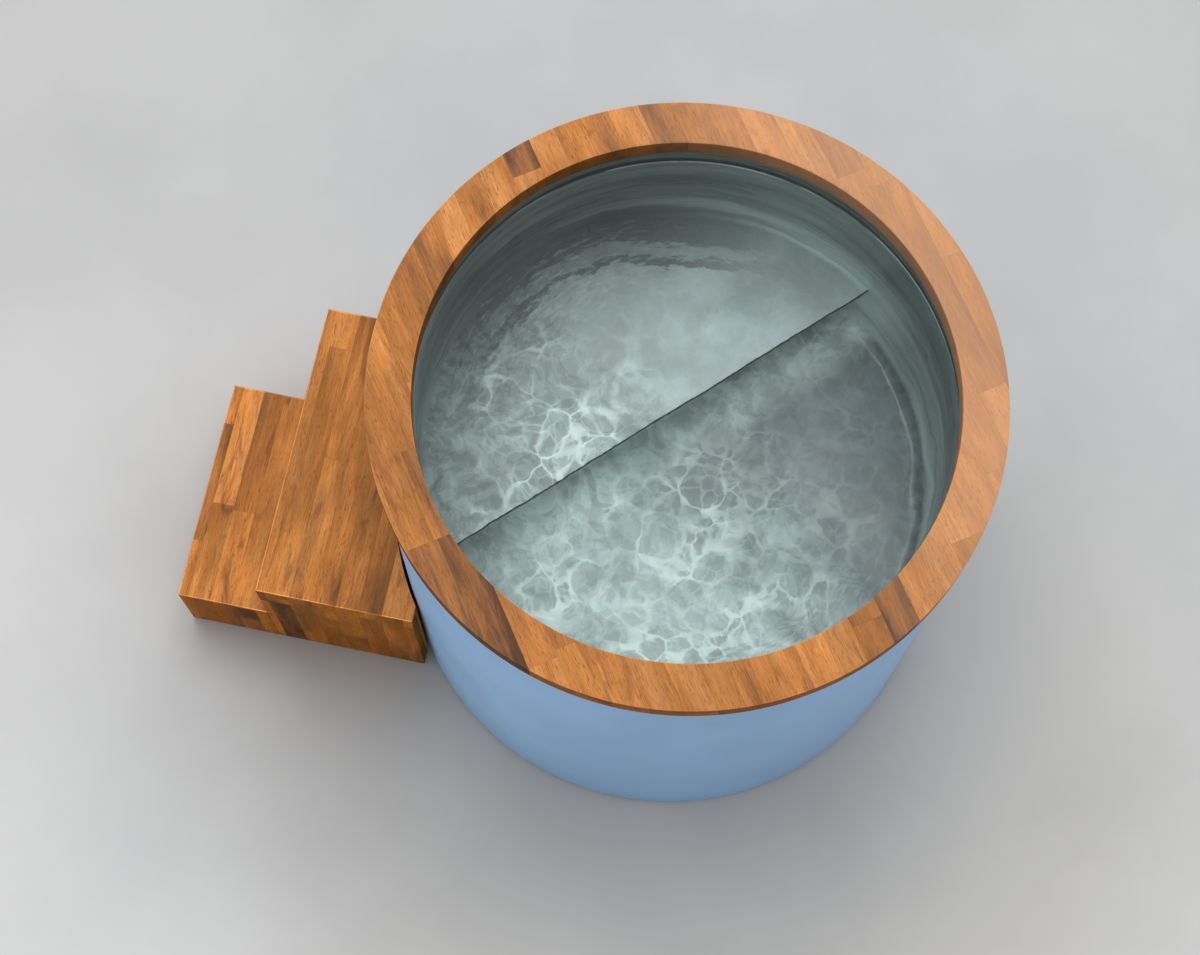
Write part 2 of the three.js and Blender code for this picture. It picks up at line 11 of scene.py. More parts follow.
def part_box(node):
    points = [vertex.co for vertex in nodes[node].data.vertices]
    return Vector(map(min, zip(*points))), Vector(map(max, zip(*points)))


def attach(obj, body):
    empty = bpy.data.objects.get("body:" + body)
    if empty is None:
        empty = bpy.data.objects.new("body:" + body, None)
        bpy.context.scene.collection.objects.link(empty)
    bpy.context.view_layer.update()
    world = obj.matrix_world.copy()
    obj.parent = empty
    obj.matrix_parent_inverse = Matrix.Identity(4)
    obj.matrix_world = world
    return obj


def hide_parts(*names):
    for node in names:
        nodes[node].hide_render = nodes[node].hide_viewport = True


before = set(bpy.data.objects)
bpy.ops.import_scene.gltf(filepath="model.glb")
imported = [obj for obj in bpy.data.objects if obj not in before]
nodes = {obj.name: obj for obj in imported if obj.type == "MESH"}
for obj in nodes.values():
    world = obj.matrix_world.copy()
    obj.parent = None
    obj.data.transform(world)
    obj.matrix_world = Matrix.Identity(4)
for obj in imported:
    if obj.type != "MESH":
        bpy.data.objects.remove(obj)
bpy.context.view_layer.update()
scene = bpy.context.scene
print("frame loaded with", len(nodes), "nodes")

# Camera, where the photograph was taken from
shot = {
    "place": (0.0887, -1.3890, 4.9115),
    "look": (-0.05331, 0.29687, -0.95343),
    "right": (0.97979, 0.19991, 0.00746),
    "lens": 65.83,
    "sensor": 36.0,
}


def makeCamera():
    lens = bpy.data.cameras.new("shotCamera")
    lens.sensor_fit = "HORIZONTAL"
    lens.sensor_width = shot["sensor"]
    lens.lens = shot["lens"]
    lens.clip_end = 200
    look = Vector(shot["look"]).normalized()
    right = Vector(shot["right"]).normalized()
    turn = Matrix((right, right.cross(look), -look)).transposed().to_4x4()
    camera = bpy.data.objects.new("shotCamera", lens)
    camera.matrix_world = Matrix.Translation(shot["place"]) @ turn
    scene.collection.objects.link(camera)
    scene.camera = camera


makeCamera()
scene.view_settings.view_transform = "Standard"
print("camera placed")

# Soft studio light and the floor
studio = {
    "sky": 0.56,
    "skyColour": (1.0, 1.0, 1.0, 1),
    "backdrop": (0.60, 0.60, 0.60, 1),
    "softbox": 560.0,
    "softboxSize": 7.0,
    "softboxPlace": (-1.2, 3.2, 10.0),
    "softboxAim": (0.0, 0.0, 0.5),
    "floorSize": 60.0,
    "floorColour": (0.635, 0.635, 0.632, 1),
    "floorStain": (0.590, 0.590, 0.588, 1),
    "paintedFloorLight": (0.955, 1.26),  # painted light: how light the floor is drawn at its far and near end
    "paintedShadeUnderTub": ((0.20, -0.38, 0), (0.7, 1.45), (0.870, 0.848, 0.818, 1)),  # painted shade on the floor under the tub, warm against the blue the shell throws: middle, reach, tone
    # painted shade on the floor beside the steps: middle, reach, tone
    "paintedShadeBesideSteps": ((-0.72, -0.52, 0), (0.15, 0.85), (0.83, 0.835, 0.84, 1)),
}


def addNode(tree, kind, inputs=None, **settings):
    made = tree.nodes.new(kind)
    for key, value in settings.items():
        setattr(made, key, value)
    for key, value in (inputs or {}).items():
        if isinstance(value, bpy.types.NodeSocket):
            tree.links.new(value, made.inputs[key])
        else:
            made.inputs[key].default_value = value
    return made


def calc(tree, operation, *values, clamp=False):
    inputs = dict(enumerate(values))
    return addNode(tree, "ShaderNodeMath", inputs, operation=operation, use_clamp=clamp).outputs[0]


def span(tree, value, low, high, toLow=0.0, toHigh=1.0, smooth=True):
    inputs = {"Value": value, "From Min": low, "From Max": high, "To Min": toLow, "To Max": toHigh}
    kind = "SMOOTHSTEP" if smooth else "LINEAR"
    return addNode(tree, "ShaderNodeMapRange", inputs, interpolation_type=kind).outputs["Result"]


def mixed(tree, share, first, second, blend="MIX"):
    made = addNode(tree, "ShaderNodeMix", data_type="RGBA", blend_type=blend)
    for socket, value in zip((made.inputs[0], made.inputs[6], made.inputs[7]), (share, first, second)):
        if isinstance(value, bpy.types.NodeSocket):
            tree.links.new(value, socket)
        else:
            socket.default_value = value
    return made.outputs[2]


def scaled(tree, vector, sizes):
    inputs = {0: vector, 1: sizes}
    return addNode(tree, "ShaderNodeVectorMath", inputs, operation="MULTIPLY").outputs[0]


def noise(tree, vector, scale, detail=3.0, roughness=0.5, distortion=0.0):
    inputs = {
        "Vector": vector,
        "Scale": scale,
        "Detail": detail,
        "Roughness": roughness,
        "Distortion": distortion,
    }
    return addNode(tree, "ShaderNodeTexNoise", inputs).outputs["Fac"]


def ramp(tree, value, stops):
    made = addNode(tree, "ShaderNodeValToRGB", {"Fac": value})
    points = made.color_ramp.elements
    while len(points) < len(stops):
        points.new(0.5)
    for point, (place, colour) in zip(points, stops):
        point.position = place
        point.color = (*colour, 1)
    return made.outputs["Color"]


def bump(tree, height, strength, distance):
    inputs = {"Height": height, "Strength": strength, "Distance": distance}
    return addNode(tree, "ShaderNodeBump", inputs).outputs["Normal"]


def newMaterial(name):
    material = bpy.data.materials.new(name)
    material.use_nodes = True
    tree = material.node_tree
    tree.nodes.clear()
    surface = addNode(tree, "ShaderNodeBsdfPrincipled")
    addNode(tree, "ShaderNodeOutputMaterial", {"Surface": surface.outputs[0]})
    place = addNode(tree, "ShaderNodeTexCoord").outputs["Object"]
    return material, tree, surface, place


def feed(tree, surface, **inputs):
    for key, value in inputs.items():
        socket = surface.inputs[key.replace("_", " ")]
        if isinstance(value, bpy.types.NodeSocket):
            tree.links.new(value, socket)
        else:
            socket.default_value = value


def makeStudio():
    world = bpy.data.worlds.new("studio")
    scene.world = world
    world.use_nodes = True
    tree = world.node_tree
    tree.nodes.clear()
    path = addNode(tree, "ShaderNodeLightPath")
    seen = calc(tree, "MAXIMUM", path.outputs["Is Camera Ray"], path.outputs["Is Transmission Ray"])
    sky = addNode(tree, "ShaderNodeBackground", {"Color": studio["skyColour"], "Strength": studio["sky"]})
    behind = addNode(tree, "ShaderNodeBackground", {"Color": studio["backdrop"], "Strength": 1.0})
    both = addNode(tree, "ShaderNodeMixShader", {0: seen, 1: sky.outputs[0], 2: behind.outputs[0]})
    addNode(tree, "ShaderNodeOutputWorld", {"Surface": both.outputs[0]})

    lamp = bpy.data.lights.new("softbox", "AREA")
    lamp.energy = studio["softbox"]
    lamp.size = studio["softboxSize"]
    softbox = bpy.data.objects.new("softbox", lamp)
    softbox.visible_glossy = False  # keeps its mirror image off the water
    place = Vector(studio["softboxPlace"])
    aim = (Vector(studio["softboxAim"]) - place).to_track_quat("-Z", "Y")
    softbox.matrix_world = Matrix.Translation(place) @ aim.to_matrix().to_4x4()
    scene.collection.objects.link(softbox)

    half = studio["floorSize"] / 2
    mesh = bpy.data.meshes.new("studioFloor")
    corners = [(-half, -half, 0), (half, -half, 0), (half, half, 0), (-half, half, 0)]
    mesh.from_pydata(corners, [], [(0, 1, 2, 3)])
    floor = bpy.data.objects.new("studioFloor", mesh)
    scene.collection.objects.link(floor)
    material, tree, surface, place = newMaterial("paleFloor")
    clouds = noise(tree, place, 1.6, 5.0, 0.55)
    share = span(tree, clouds, 0.35, 0.65)
    colour = mixed(tree, share, studio["floorStain"], studio["floorColour"])
    y = addNode(tree, "ShaderNodeSeparateXYZ", {0: place}).outputs["Y"]
    # painted light: the floor drawn lighter toward the near end
    paintedFloorLight = span(tree, y, 1.3, -1.8, *studio["paintedFloorLight"])
    colour = mixed(tree, 1.0, colour, paintedFloorLight, "MULTIPLY")
    # painted shade on the floor under the tub and beside the steps
    for middle, reach, tone in (studio["paintedShadeUnderTub"], studio["paintedShadeBesideSteps"]):
        inputs = {0: place, 1: middle}
        away = addNode(tree, "ShaderNodeVectorMath", inputs, operation="DISTANCE").outputs["Value"]
        colour = mixed(tree, span(tree, away, *reach, 1.0, 0.0), colour, mixed(tree, 1.0, colour, tone, "MULTIPLY"))
    feed(tree, surface, Base_Color=colour, Roughness=0.9, Specular_IOR_Level=0.2)
    mesh.materials.append(material)


makeStudio()
print("studio set")

# Edge-glued hardwood. Each stave carries its own span, tone and figure on its faces.
woodLook = {
    "tones": [
        (0.00, (0.120, 0.052, 0.026)),
        (0.12, (0.220, 0.094, 0.040)),
        (0.30, (0.345, 0.140, 0.044)),
        (0.55, (0.480, 0.184, 0.044)),
        (0.80, (0.580, 0.225, 0.052)),
        (1.00, (0.650, 0.275, 0.080)),
    ],
    "pore": (0.130, 0.050, 0.020, 1),
    "heart": (0.155, 0.066, 0.030, 1),
    "heartShare": 0.74,
    # colour the painted sheen leans toward
    "sheenTone": (0.74, 0.43, 0.27, 1),
    "glueLine": 0.0007,
    "roughness": (0.34, 0.52),
    "zones": (0.76, 1.26),
}


def dotted(tree, vector, axis):
    return addNode(tree, "ShaderNodeVectorMath", {0: vector, 1: axis}, operation="DOT_PRODUCT").outputs["Value"]


def woodMaterial(name, lay):
    material, tree, surface, place = newMaterial(name)
    grain, across = Vector(lay["grain"]), Vector(lay["across"])
    along = dotted(tree, place, grain)
    side = dotted(tree, place, across)
    deep = dotted(tree, place, grain.cross(across))

    def staveData(label):
        data = addNode(tree, "ShaderNodeAttribute", attribute_name=label).outputs["Vector"]
        return addNode(tree, "ShaderNodeSeparateXYZ", {0: data}).outputs

    if lay.get("plain"):
        start, end, figure, low, high, tone = -9.0, 9.0, 0.3, -9.0, 9.0, lay["tone"]
    else:
        start, end, figure = staveData("staveSpan")
        low, high, tone = staveData("staveSides")
    shift = calc(tree, "MULTIPLY", figure, 31.0)
    point = addNode(
        tree,
        "ShaderNodeCombineXYZ",
        {
            0: calc(tree, "ADD", along, shift),
            1: calc(tree, "ADD", side, calc(tree, "MULTIPLY", figure, 7.0)),
            2: calc(tree, "ADD", deep, shift),
        },
    ).outputs[0]

    streak = noise(tree, scaled(tree, point, (3.0, 22.0, 22.0)), 1.0, 2.5, 0.5, 0.5)
    flame = noise(tree, scaled(tree, point, (5.0, 34.0, 34.0)), 1.0, 2.0, 0.5, 1.2)
    rings = calc(tree, "SINE", calc(tree, "MULTIPLY", flame, 34.0))
    fibre = noise(tree, scaled(tree, point, (26.0, 620.0, 620.0)), 1.0, 2.0, 0.6)
    pores = noise(tree, scaled(tree, point, (70.0, 520.0, 520.0)), 1.0, 2.0, 0.5)

    level = calc(tree, "ADD", tone, calc(tree, "MULTIPLY", calc(tree, "SUBTRACT", streak, 0.47), 1.60))
    level = calc(tree, "ADD", level, calc(tree, "MULTIPLY", rings, 0.055), clamp=True)
    colour = ramp(tree, level, woodLook["tones"])
    heart = noise(tree, scaled(tree, point, (6.0, 27.0, 27.0)), 1.0, 4.0, 0.62, 1.0)
    heartShare = calc(tree, "MULTIPLY", span(tree, heart, 0.53, 0.69), lay.get("heartShare", woodLook["heartShare"]))
    colour = mixed(tree, heartShare, colour, woodLook["heart"])
    shade = span(tree, fibre, 0.25, 0.75, 0.80, 1.17, smooth=False)
    colour = mixed(tree, 1.0, colour, shade, "MULTIPLY")
    zone = noise(tree, scaled(tree, point, (3.4, 10.0, 10.0)), 1.0, 2.0, 0.5, 0.6)
    colour = mixed(tree, 1.0, colour, span(tree, zone, 0.34, 0.66, *lay.get("zones", woodLook["zones"])), "MULTIPLY")
    line = noise(tree, scaled(tree, point, (6.0, 190.0, 190.0)), 1.0, 3.0, 0.6, 0.3)
    colour = mixed(tree, 1.0, colour, span(tree, line, 0.3, 0.7, 0.88, 1.12, smooth=False), "MULTIPLY")
    speck = calc(tree, "MULTIPLY", span(tree, pores, 0.58, 0.68), 0.55)
    colour = mixed(tree, speck, colour, woodLook["pore"])

    ends = calc(tree, "MINIMUM", calc(tree, "SUBTRACT", along, start), calc(tree, "SUBTRACT", end, along))
    sides = calc(tree, "MINIMUM", calc(tree, "SUBTRACT", side, low), calc(tree, "SUBTRACT", high, side))
    joint = span(tree, calc(tree, "MINIMUM", ends, sides), 0.0, woodLook["glueLine"], 0.45, 0.0)
    colour = mixed(tree, joint, colour, woodLook["pore"])
    colour = mixed(tree, 1.0, colour, (*lay.get("tint", (1, 1, 1)), 1), "MULTIPLY")
    # painted shade: the wood drawn darker toward one side
    if "paintedShade" in lay:
        toward, reach, share = lay["paintedShade"]
        dim = calc(tree, "MULTIPLY", span(tree, dotted(tree, place, toward), *reach), share)
        colour = mixed(tree, dim, colour, woodLook["pore"])
    # painted sheen: the wood drawn paler toward one side
    if "paintedSheen" in lay:
        toward, reach, share = lay["paintedSheen"]
        paintedLight = calc(tree, "MULTIPLY", span(tree, dotted(tree, place, toward), *reach), share)
        colour = mixed(tree, paintedLight, colour, mixed(tree, 0.5, colour, woodLook["sheenTone"]))

    rough = span(tree, streak, 0.2, 0.8, *lay.get("roughness", woodLook["roughness"]), smooth=False)
    relief = calc(tree, "SUBTRACT", calc(tree, "MULTIPLY", fibre, 0.4), speck)
    feed(tree, surface, Base_Color=colour, Roughness=rough, Normal=bump(tree, relief, 0.25, 0.0006))
    feed(tree, surface, Specular_IOR_Level=lay.get("gloss", 0.32))
    return material


def layStaves(piece, lay):
    # cut the piece along its glue lines, then write each stave's data on its faces
    grain, across = Vector(lay["grain"]), Vector(lay["across"])
    dice = random.Random(lay["seed"])
    bm = bmesh.new()
    bm.from_mesh(piece.data)
    alongs = [v.co.dot(grain) for v in bm.verts]
    acrosses = [v.co.dot(across) for v in bm.verts]
    rows = []
    edge = min(acrosses) - lay["width"] * lay["phase"]
    while edge < max(acrosses):
        high = edge + lay["width"] * dice.uniform(0.94, 1.06)
        rows.append((edge, high))
        edge = high
    spanData = bm.faces.layers.float_vector.new("staveSpan")
    sideData = bm.faces.layers.float_vector.new("staveSides")

    def cutAt(faces, point, normal):
        edges = list({e for f in faces for e in f.edges})
        verts = list({v for f in faces for v in f.verts})
        bmesh.ops.bisect_plane(bm, geom=verts + edges + list(faces), plane_co=point, plane_no=normal)

    for low, high in rows[1:]:
        cutAt(bm.faces[:], across * low, across)
    for low, high in rows:
        cuts = [min(alongs) - lay["length"] * dice.random()]
        while cuts[-1] < max(alongs):
            cuts.append(cuts[-1] + lay["length"] * dice.uniform(0.55, 1.45))
        staves = []
        for start, end in zip(cuts, cuts[1:]):
            tone = lay["tone"] + lay["spread"] * dice.uniform(-1, 1)
            tone -= lay["contrast"] if dice.random() < lay["dark"] else 0.0
            staves.append((start, end, tone, dice.random()))
        for side, start, end, tone in lay.get("accents", []):
            if low <= side < high:
                before = [(a, min(b, start), t, f) for a, b, t, f in staves if a < start]
                after = [(max(a, end), b, t, f) for a, b, t, f in staves if b > end]
                staves = before + [(start, end, tone, dice.random())] + after
        for side, at, tone in lay.get("retoned", []):
            if low <= side < high:
                staves = [(a, b, tone if a <= at < b else t, f) for a, b, t, f in staves]
        for start, end, tone, figure in staves:
            inRow = [f for f in bm.faces if low < f.calc_center_median().dot(across) < high]
            cutAt(inRow, grain * end, grain)
        for f in bm.faces:
            centre = f.calc_center_median()
            if low < centre.dot(across) < high:
                for start, end, tone, figure in staves:
                    if start <= centre.dot(grain) < end:
                        f[spanData] = (start, end, figure)
                        f[sideData] = (low, high, max(0.0, min(1.0, tone)))
    bm.to_mesh(piece.data)
    bm.free()


# Finishes of the other pieces
def paintMaterial(name, colour, roughness, paintedLight=(1.0, 1.0)):
    # paintedLight: painted light, how light the paint is drawn on the side that looks away from the steps and on the
    # side that looks towards them
    material, tree, surface, place = newMaterial(name)
    clouds = noise(tree, place, 5.0, 3.0)
    peel = noise(tree, place, 420.0, 2.0)
    shade = span(tree, clouds, 0.3, 0.7, 0.95, 1.04)
    # painted light: the paint drawn lighter on the side toward the steps
    shade = calc(tree, "MULTIPLY", shade, span(tree, dotted(tree, place, (-0.8, -0.6, 0)), 0.30, 0.58, *paintedLight))
    feed(tree, surface, Base_Color=mixed(tree, 1.0, (*colour, 1), shade, "MULTIPLY"))
    feed(tree, surface, Roughness=span(tree, clouds, 0.3, 0.7, roughness - 0.04, roughness + 0.04))
    feed(tree, surface, Normal=bump(tree, peel, 0.12, 0.0004))
    return material


def metalMaterial(name, colour, dull, roughness):
    material, tree, surface, place = newMaterial(name)
    clouds = noise(tree, place, 30.0, 4.0)
    scratch = noise(tree, scaled(tree, place, (900.0, 900.0, 60.0)), 1.0, 2.0)
    feed(tree, surface, Base_Color=mixed(tree, span(tree, clouds, 0.35, 0.7), (*colour, 1), (*dull, 1)))
    feed(tree, surface, Roughness=span(tree, scratch, 0.2, 0.8, roughness - 0.08, roughness + 0.1))
    feed(tree, surface, Metallic=1.0, Normal=bump(tree, scratch, 0.08, 0.0003))
    return material


def mouldedMaterial(name, colour, pale, roughness, grit):
    material, tree, surface, place = newMaterial(name)
    clouds = noise(tree, place, 18.0, 3.0)
    grains = noise(tree, place, grit, 2.0)
    feed(tree, surface, Base_Color=mixed(tree, span(tree, clouds, 0.3, 0.75), (*colour, 1), (*pale, 1)))
    feed(tree, surface, Roughness=span(tree, grains, 0.2, 0.8, roughness - 0.06, roughness + 0.08))
    feed(tree, surface, Normal=bump(tree, grains, 0.2, 0.0005))
    return material


bluePaint = paintMaterial("bluePaint", (0.280, 0.508, 0.820), 0.42)
# the shell's paint drawn lighter on the side toward the steps: painted light
shellPaint = paintMaterial("shellPaint", (0.276, 0.502, 0.810), 0.42, (1.0, 1.20))
brass = metalMaterial("brass", (0.58, 0.42, 0.18), (0.42, 0.29, 0.12), 0.34)
steel = metalMaterial("steel", (0.62, 0.63, 0.64), (0.48, 0.49, 0.50), 0.3)
rubber = mouldedMaterial("rubber", (0.016, 0.016, 0.017), (0.030, 0.030, 0.030), 0.78, 900.0)
plastic = mouldedMaterial("greyPlastic", (0.050, 0.054, 0.057), (0.072, 0.077, 0.080), 0.48, 700.0)
foam = mouldedMaterial("foam", (0.62, 0.56, 0.36), (0.72, 0.66, 0.46), 0.9, 260.0)
baseBoard = mouldedMaterial("baseBoard", (0.060, 0.062, 0.065), (0.085, 0.087, 0.090), 0.68, 500.0)
print("finishes made")

# Tank finish, with painted light and shade: the net of light that the water throws on it, ripples, and shade by the
# walls
tankLook = {
    "bench": ((0.400, 0.482, 0.482, 1), (0.395, 0.482, 0.476, 1)),  # away from and under the net
    "floor": ((0.162, 0.210, 0.220, 1), (0.470, 0.585, 0.575, 1)),
    "ring": (0.185, 0.222, 0.220, 1),
    "wall": (0.205, 0.250, 0.242, 1),
    "litWallFoot": (0.390, 0.470, 0.462, 1),
    "shadeAboveWater": (0.120, 0.142, 0.134, 1),
    "glow": (0.800, 0.930, 0.890, 1),
    "shadow": (0.105, 0.130, 0.132, 1),
    "benchBearing": 134.5,
    "benchFront": 0.080,
    "benchLight": (-0.315, -0.125, 0.64),
    "floorLight": (0.0, -0.36, 0.45),
    "lightReach": (0.12, 0.41),
    "floorReach": (0.12, 0.56),
    # colour of the painted light on the floor along the bench front
    "front": (0.520, 0.630, 0.622, 1),
    "paintedLightByBench": (-0.02, 0.070),  # painted light on the floor toward the bench, against the shade of its front
    "frontGlows": [((-0.27, -0.10, 0.45), (0.03, 0.15)), ((0.29, 0.45, 0.45), (0.03, 0.11))],  # painted pools of light along the bench front: middle and reach
    "shadeSpots": [((0.07, 0.00, 0.45), (0.04, 0.21), 0.68), ((0.43, 0.02, 0.45), (0.06, 0.24), 0.80)],  # painted shade spots on the floor: middle, reach and how dark
    "ringEdges": (0.430, 0.449, 0.476),
    "ringMiddle": 128.0,
    "wallLight": 76.0,
    "wallEdge": (0.508, 0.520),
    "cell": 0.066,
    "lightMottle": (0.86, 1.12),
    "waterLine": 0.9636,
}


def distanceTo(tree, vector, point):
    return addNode(tree, "ShaderNodeVectorMath", {0: vector, 1: point}, operation="DISTANCE").outputs["Value"]


def bearingAxis(degrees):
    return (math.cos(math.radians(degrees)), math.sin(math.radians(degrees)), 0)


def lightNet(tree, vector, cell, width):
    # painted light: bright lines of changing width between cells, and a painted shade for each cell
    inputs = {"Vector": vector, "Scale": 1 / cell}
    web = addNode(tree, "ShaderNodeTexVoronoi", inputs, feature="DISTANCE_TO_EDGE").outputs["Distance"]
    cells = addNode(tree, "ShaderNodeTexVoronoi", inputs, feature="F1")
    line = span(tree, web, calc(tree, "MULTIPLY", width, 0.25), width, 1.0, 0.0)
    halo = calc(tree, "MULTIPLY", span(tree, web, 0.0, 0.40, 1.0, 0.0), 0.14)
    knots = span(tree, cells.outputs["Distance"], 0.35, 0.80, 0.30, 1.0)
    shade = addNode(tree, "ShaderNodeSeparateColor", {0: cells.outputs["Color"]}).outputs[0]
    return calc(tree, "ADD", calc(tree, "MULTIPLY", line, knots), halo), shade


def tankMaterial(name):
    material, tree, surface, place = newMaterial(name)
    x, y, z = addNode(tree, "ShaderNodeSeparateXYZ", {0: place}).outputs
    flat = addNode(tree, "ShaderNodeCombineXYZ", {0: x, 1: y}).outputs[0]
    radius = addNode(tree, "ShaderNodeVectorMath", {0: flat}, operation="LENGTH").outputs["Value"]
    outward = addNode(tree, "ShaderNodeVectorMath", {0: flat}, operation="NORMALIZE").outputs[0]
    toBench = dotted(tree, place, bearingAxis(tankLook["benchBearing"]))
    alongBench = dotted(tree, place, bearingAxis(tankLook["benchBearing"] + 90))
    onBench = calc(tree, "GREATER_THAN", z, 0.63)

    # streaks that follow the wall, for ragged edges and painted flecks of rippled light and shade
    ox, oy, oz = addNode(tree, "ShaderNodeSeparateXYZ", {0: outward}).outputs
    turned = {0: calc(tree, "MULTIPLY", ox, 0.5), 1: calc(tree, "MULTIPLY", oy, 0.5), 2: calc(tree, "MULTIPLY", radius, 4.2)}
    polar = addNode(tree, "ShaderNodeCombineXYZ", turned).outputs[0]
    rag = calc(tree, "SUBTRACT", noise(tree, polar, 22.0, 4.0, 0.65), 0.5)
    lean = span(tree, dotted(tree, outward, bearingAxis(98.0)), 0.92, 1.0, 0.0, 0.028)
    ringAt = calc(tree, "ADD", calc(tree, "ADD", radius, lean), calc(tree, "MULTIPLY", rag, 0.075))
    flecks = noise(tree, polar, 32.0, 2.5, 0.55)
    fleckShare = calc(tree, "MULTIPLY", span(tree, radius, 0.30, 0.42), span(tree, alongBench, -0.35, 0.0, 0.2, 1.0))
    fleckShare = calc(tree, "MULTIPLY", fleckShare, span(tree, alongBench, 0.12, 0.38, 1.0, 0.35))

    clouds = noise(tree, place, 9.0, 4.0, 0.6)
    # painted pools of light on the bench and the floor
    benchLit = span(tree, distanceTo(tree, place, tankLook["benchLight"]), *tankLook["lightReach"], 1.0, 0.0)
    floorLit = span(tree, distanceTo(tree, place, tankLook["floorLight"]), *tankLook["floorReach"], 1.0, 0.0)
    benchColour = mixed(tree, benchLit, *tankLook["bench"])
    # painted light: the bench drawn lighter toward each end
    benchColour = mixed(tree, 1.0, benchColour, span(tree, alongBench, 0.25, -0.40, 0.90, 1.32), "MULTIPLY")
    benchColour = mixed(tree, 1.0, benchColour, span(tree, alongBench, 0.28, 0.46, 1.0, 1.30), "MULTIPLY")
    floorColour = mixed(tree, floorLit, *tankLook["floor"])
    # painted light along the bench front
    lightByBench = span(tree, toBench, *tankLook["paintedLightByBench"])
    floorColour = mixed(tree, lightByBench, floorColour, tankLook["front"])
    # painted shade spots on the floor
    for middle, reach, share in tankLook["shadeSpots"]:
        shadeSpot = span(tree, distanceTo(tree, place, middle), *reach, share, 1.0)
        floorColour = mixed(tree, 1.0, floorColour, shadeSpot, "MULTIPLY")
    # painted pools of light along the bench front
    for middle, reach in tankLook["frontGlows"]:
        glowing = span(tree, distanceTo(tree, place, middle), *reach, 1.0, 0.0)
        floorColour = mixed(tree, glowing, floorColour, tankLook["glow"])
        floorLit = calc(tree, "MAXIMUM", floorLit, calc(tree, "MULTIPLY", glowing, 0.8))
    colour = mixed(tree, onBench, floorColour, benchColour)
    colour = mixed(tree, 1.0, colour, span(tree, clouds, 0.3, 0.7, 0.84, 1.10), "MULTIPLY")

    # painted ring of shade by the wall: a dark band, a paler ragged band, then dark to the wall
    first, second, third = tankLook["ringEdges"]
    facing = dotted(tree, outward, bearingAxis(tankLook["ringMiddle"]))
    depth = span(tree, facing, 0.55, 0.95, 0.12, 0.90)
    inner = span(tree, ringAt, first - 0.004, first + 0.004)
    pale = calc(tree, "MULTIPLY", span(tree, ringAt, second - 0.003, second + 0.003), 0.75)
    outer = calc(tree, "MULTIPLY", span(tree, ringAt, third - 0.004, third + 0.008), 0.70)
    ring = calc(tree, "ADD", calc(tree, "SUBTRACT", inner, pale), outer, clamp=True)
    ring = calc(tree, "MULTIPLY", ring, depth)
    colour = mixed(tree, ring, colour, tankLook["ring"])

    drift = addNode(tree, "ShaderNodeTexNoise", {"Vector": place, "Scale": 9.0, "Detail": 2.5}).outputs["Color"]
    drift = addNode(tree, "ShaderNodeVectorMath", {0: drift, 1: (0.5, 0.5, 0.5)}, operation="SUBTRACT").outputs[0]
    inputs = {0: drift, 1: (0.09, 0.09, 0.0), 2: place}
    warped = addNode(tree, "ShaderNodeVectorMath", inputs, operation="MULTIPLY_ADD").outputs[0]
    # painted net of light that the water throws, with a painted shade in each cell
    width = span(tree, noise(tree, place, 18.0, 3.0, 0.6), 0.40, 0.66, 0.045, 0.24)
    wide, shade = lightNet(tree, warped, tankLook["cell"], width)
    fine, fineShade = lightNet(tree, warped, tankLook["cell"] * 0.48, calc(tree, "MULTIPLY", width, 0.9))
    besideBench = calc(tree, "MAXIMUM", floorLit, calc(tree, "MULTIPLY", lightByBench, 0.42))
    lit = addNode(tree, "ShaderNodeMix", {0: onBench, 2: besideBench, 3: benchLit}).outputs[0]
    patches = span(tree, noise(tree, place, 6.5, 3.0), 0.36, 0.62, 0.20, 1.0)
    net = calc(tree, "ADD", calc(tree, "MULTIPLY", wide, 0.90), calc(tree, "MULTIPLY", fine, 0.34))
    net = calc(tree, "MULTIPLY", calc(tree, "MULTIPLY", net, patches), calc(tree, "MULTIPLY_ADD", lit, 1.15, 0.14))
    net = calc(tree, "MULTIPLY", net, span(tree, ringAt, 0.40, 0.47, 1.0, 0.0))
    cellShade = calc(tree, "MULTIPLY", span(tree, shade, 0.0, 1.0, 0.82, 1.10), span(tree, fineShade, 0.0, 1.0, 0.90, 1.08))
    colour = mixed(tree, span(tree, lit, 0.0, 0.4, 0.25, 1.0), colour, mixed(tree, 1.0, colour, cellShade, "MULTIPLY"))
    # painted mottling of the light under the water
    lightMottle = span(tree, noise(tree, warped, 44.0, 3.0, 0.6), 0.43, 0.57, *tankLook["lightMottle"])
    mottleShare = span(tree, calc(tree, "SUBTRACT", lit, onBench), -1.0, -0.7, 0.15, 1.0)
    colour = mixed(tree, mottleShare, colour, mixed(tree, 1.0, colour, lightMottle, "MULTIPLY"))
    colour = mixed(tree, calc(tree, "MULTIPLY", net, 0.9, clamp=True), colour, tankLook["glow"])

    # painted shade in rings that spread over the bench, and painted flecks of light and shade
    spread = calc(tree, "MULTIPLY", distanceTo(tree, warped, tankLook["benchLight"]), 2 * math.pi / 0.042)
    rings = calc(tree, "MULTIPLY", span(tree, calc(tree, "SINE", spread), 0.45, 0.85), span(tree, clouds, 0.46, 0.60))
    nearRings = calc(tree, "MULTIPLY", rings, span(tree, benchLit, 0.0, 0.5))
    colour = mixed(tree, calc(tree, "MULTIPLY", nearRings, 0.30), colour, tankLook["shadow"])
    dark = calc(tree, "MULTIPLY", span(tree, flecks, 0.54, 0.66), calc(tree, "MULTIPLY", fleckShare, 0.30))
    pale = calc(tree, "MULTIPLY", span(tree, flecks, 0.44, 0.32), calc(tree, "MULTIPLY", fleckShare, 0.30))
    colour = mixed(tree, dark, colour, tankLook["shadow"])
    colour = mixed(tree, pale, colour, tankLook["glow"])
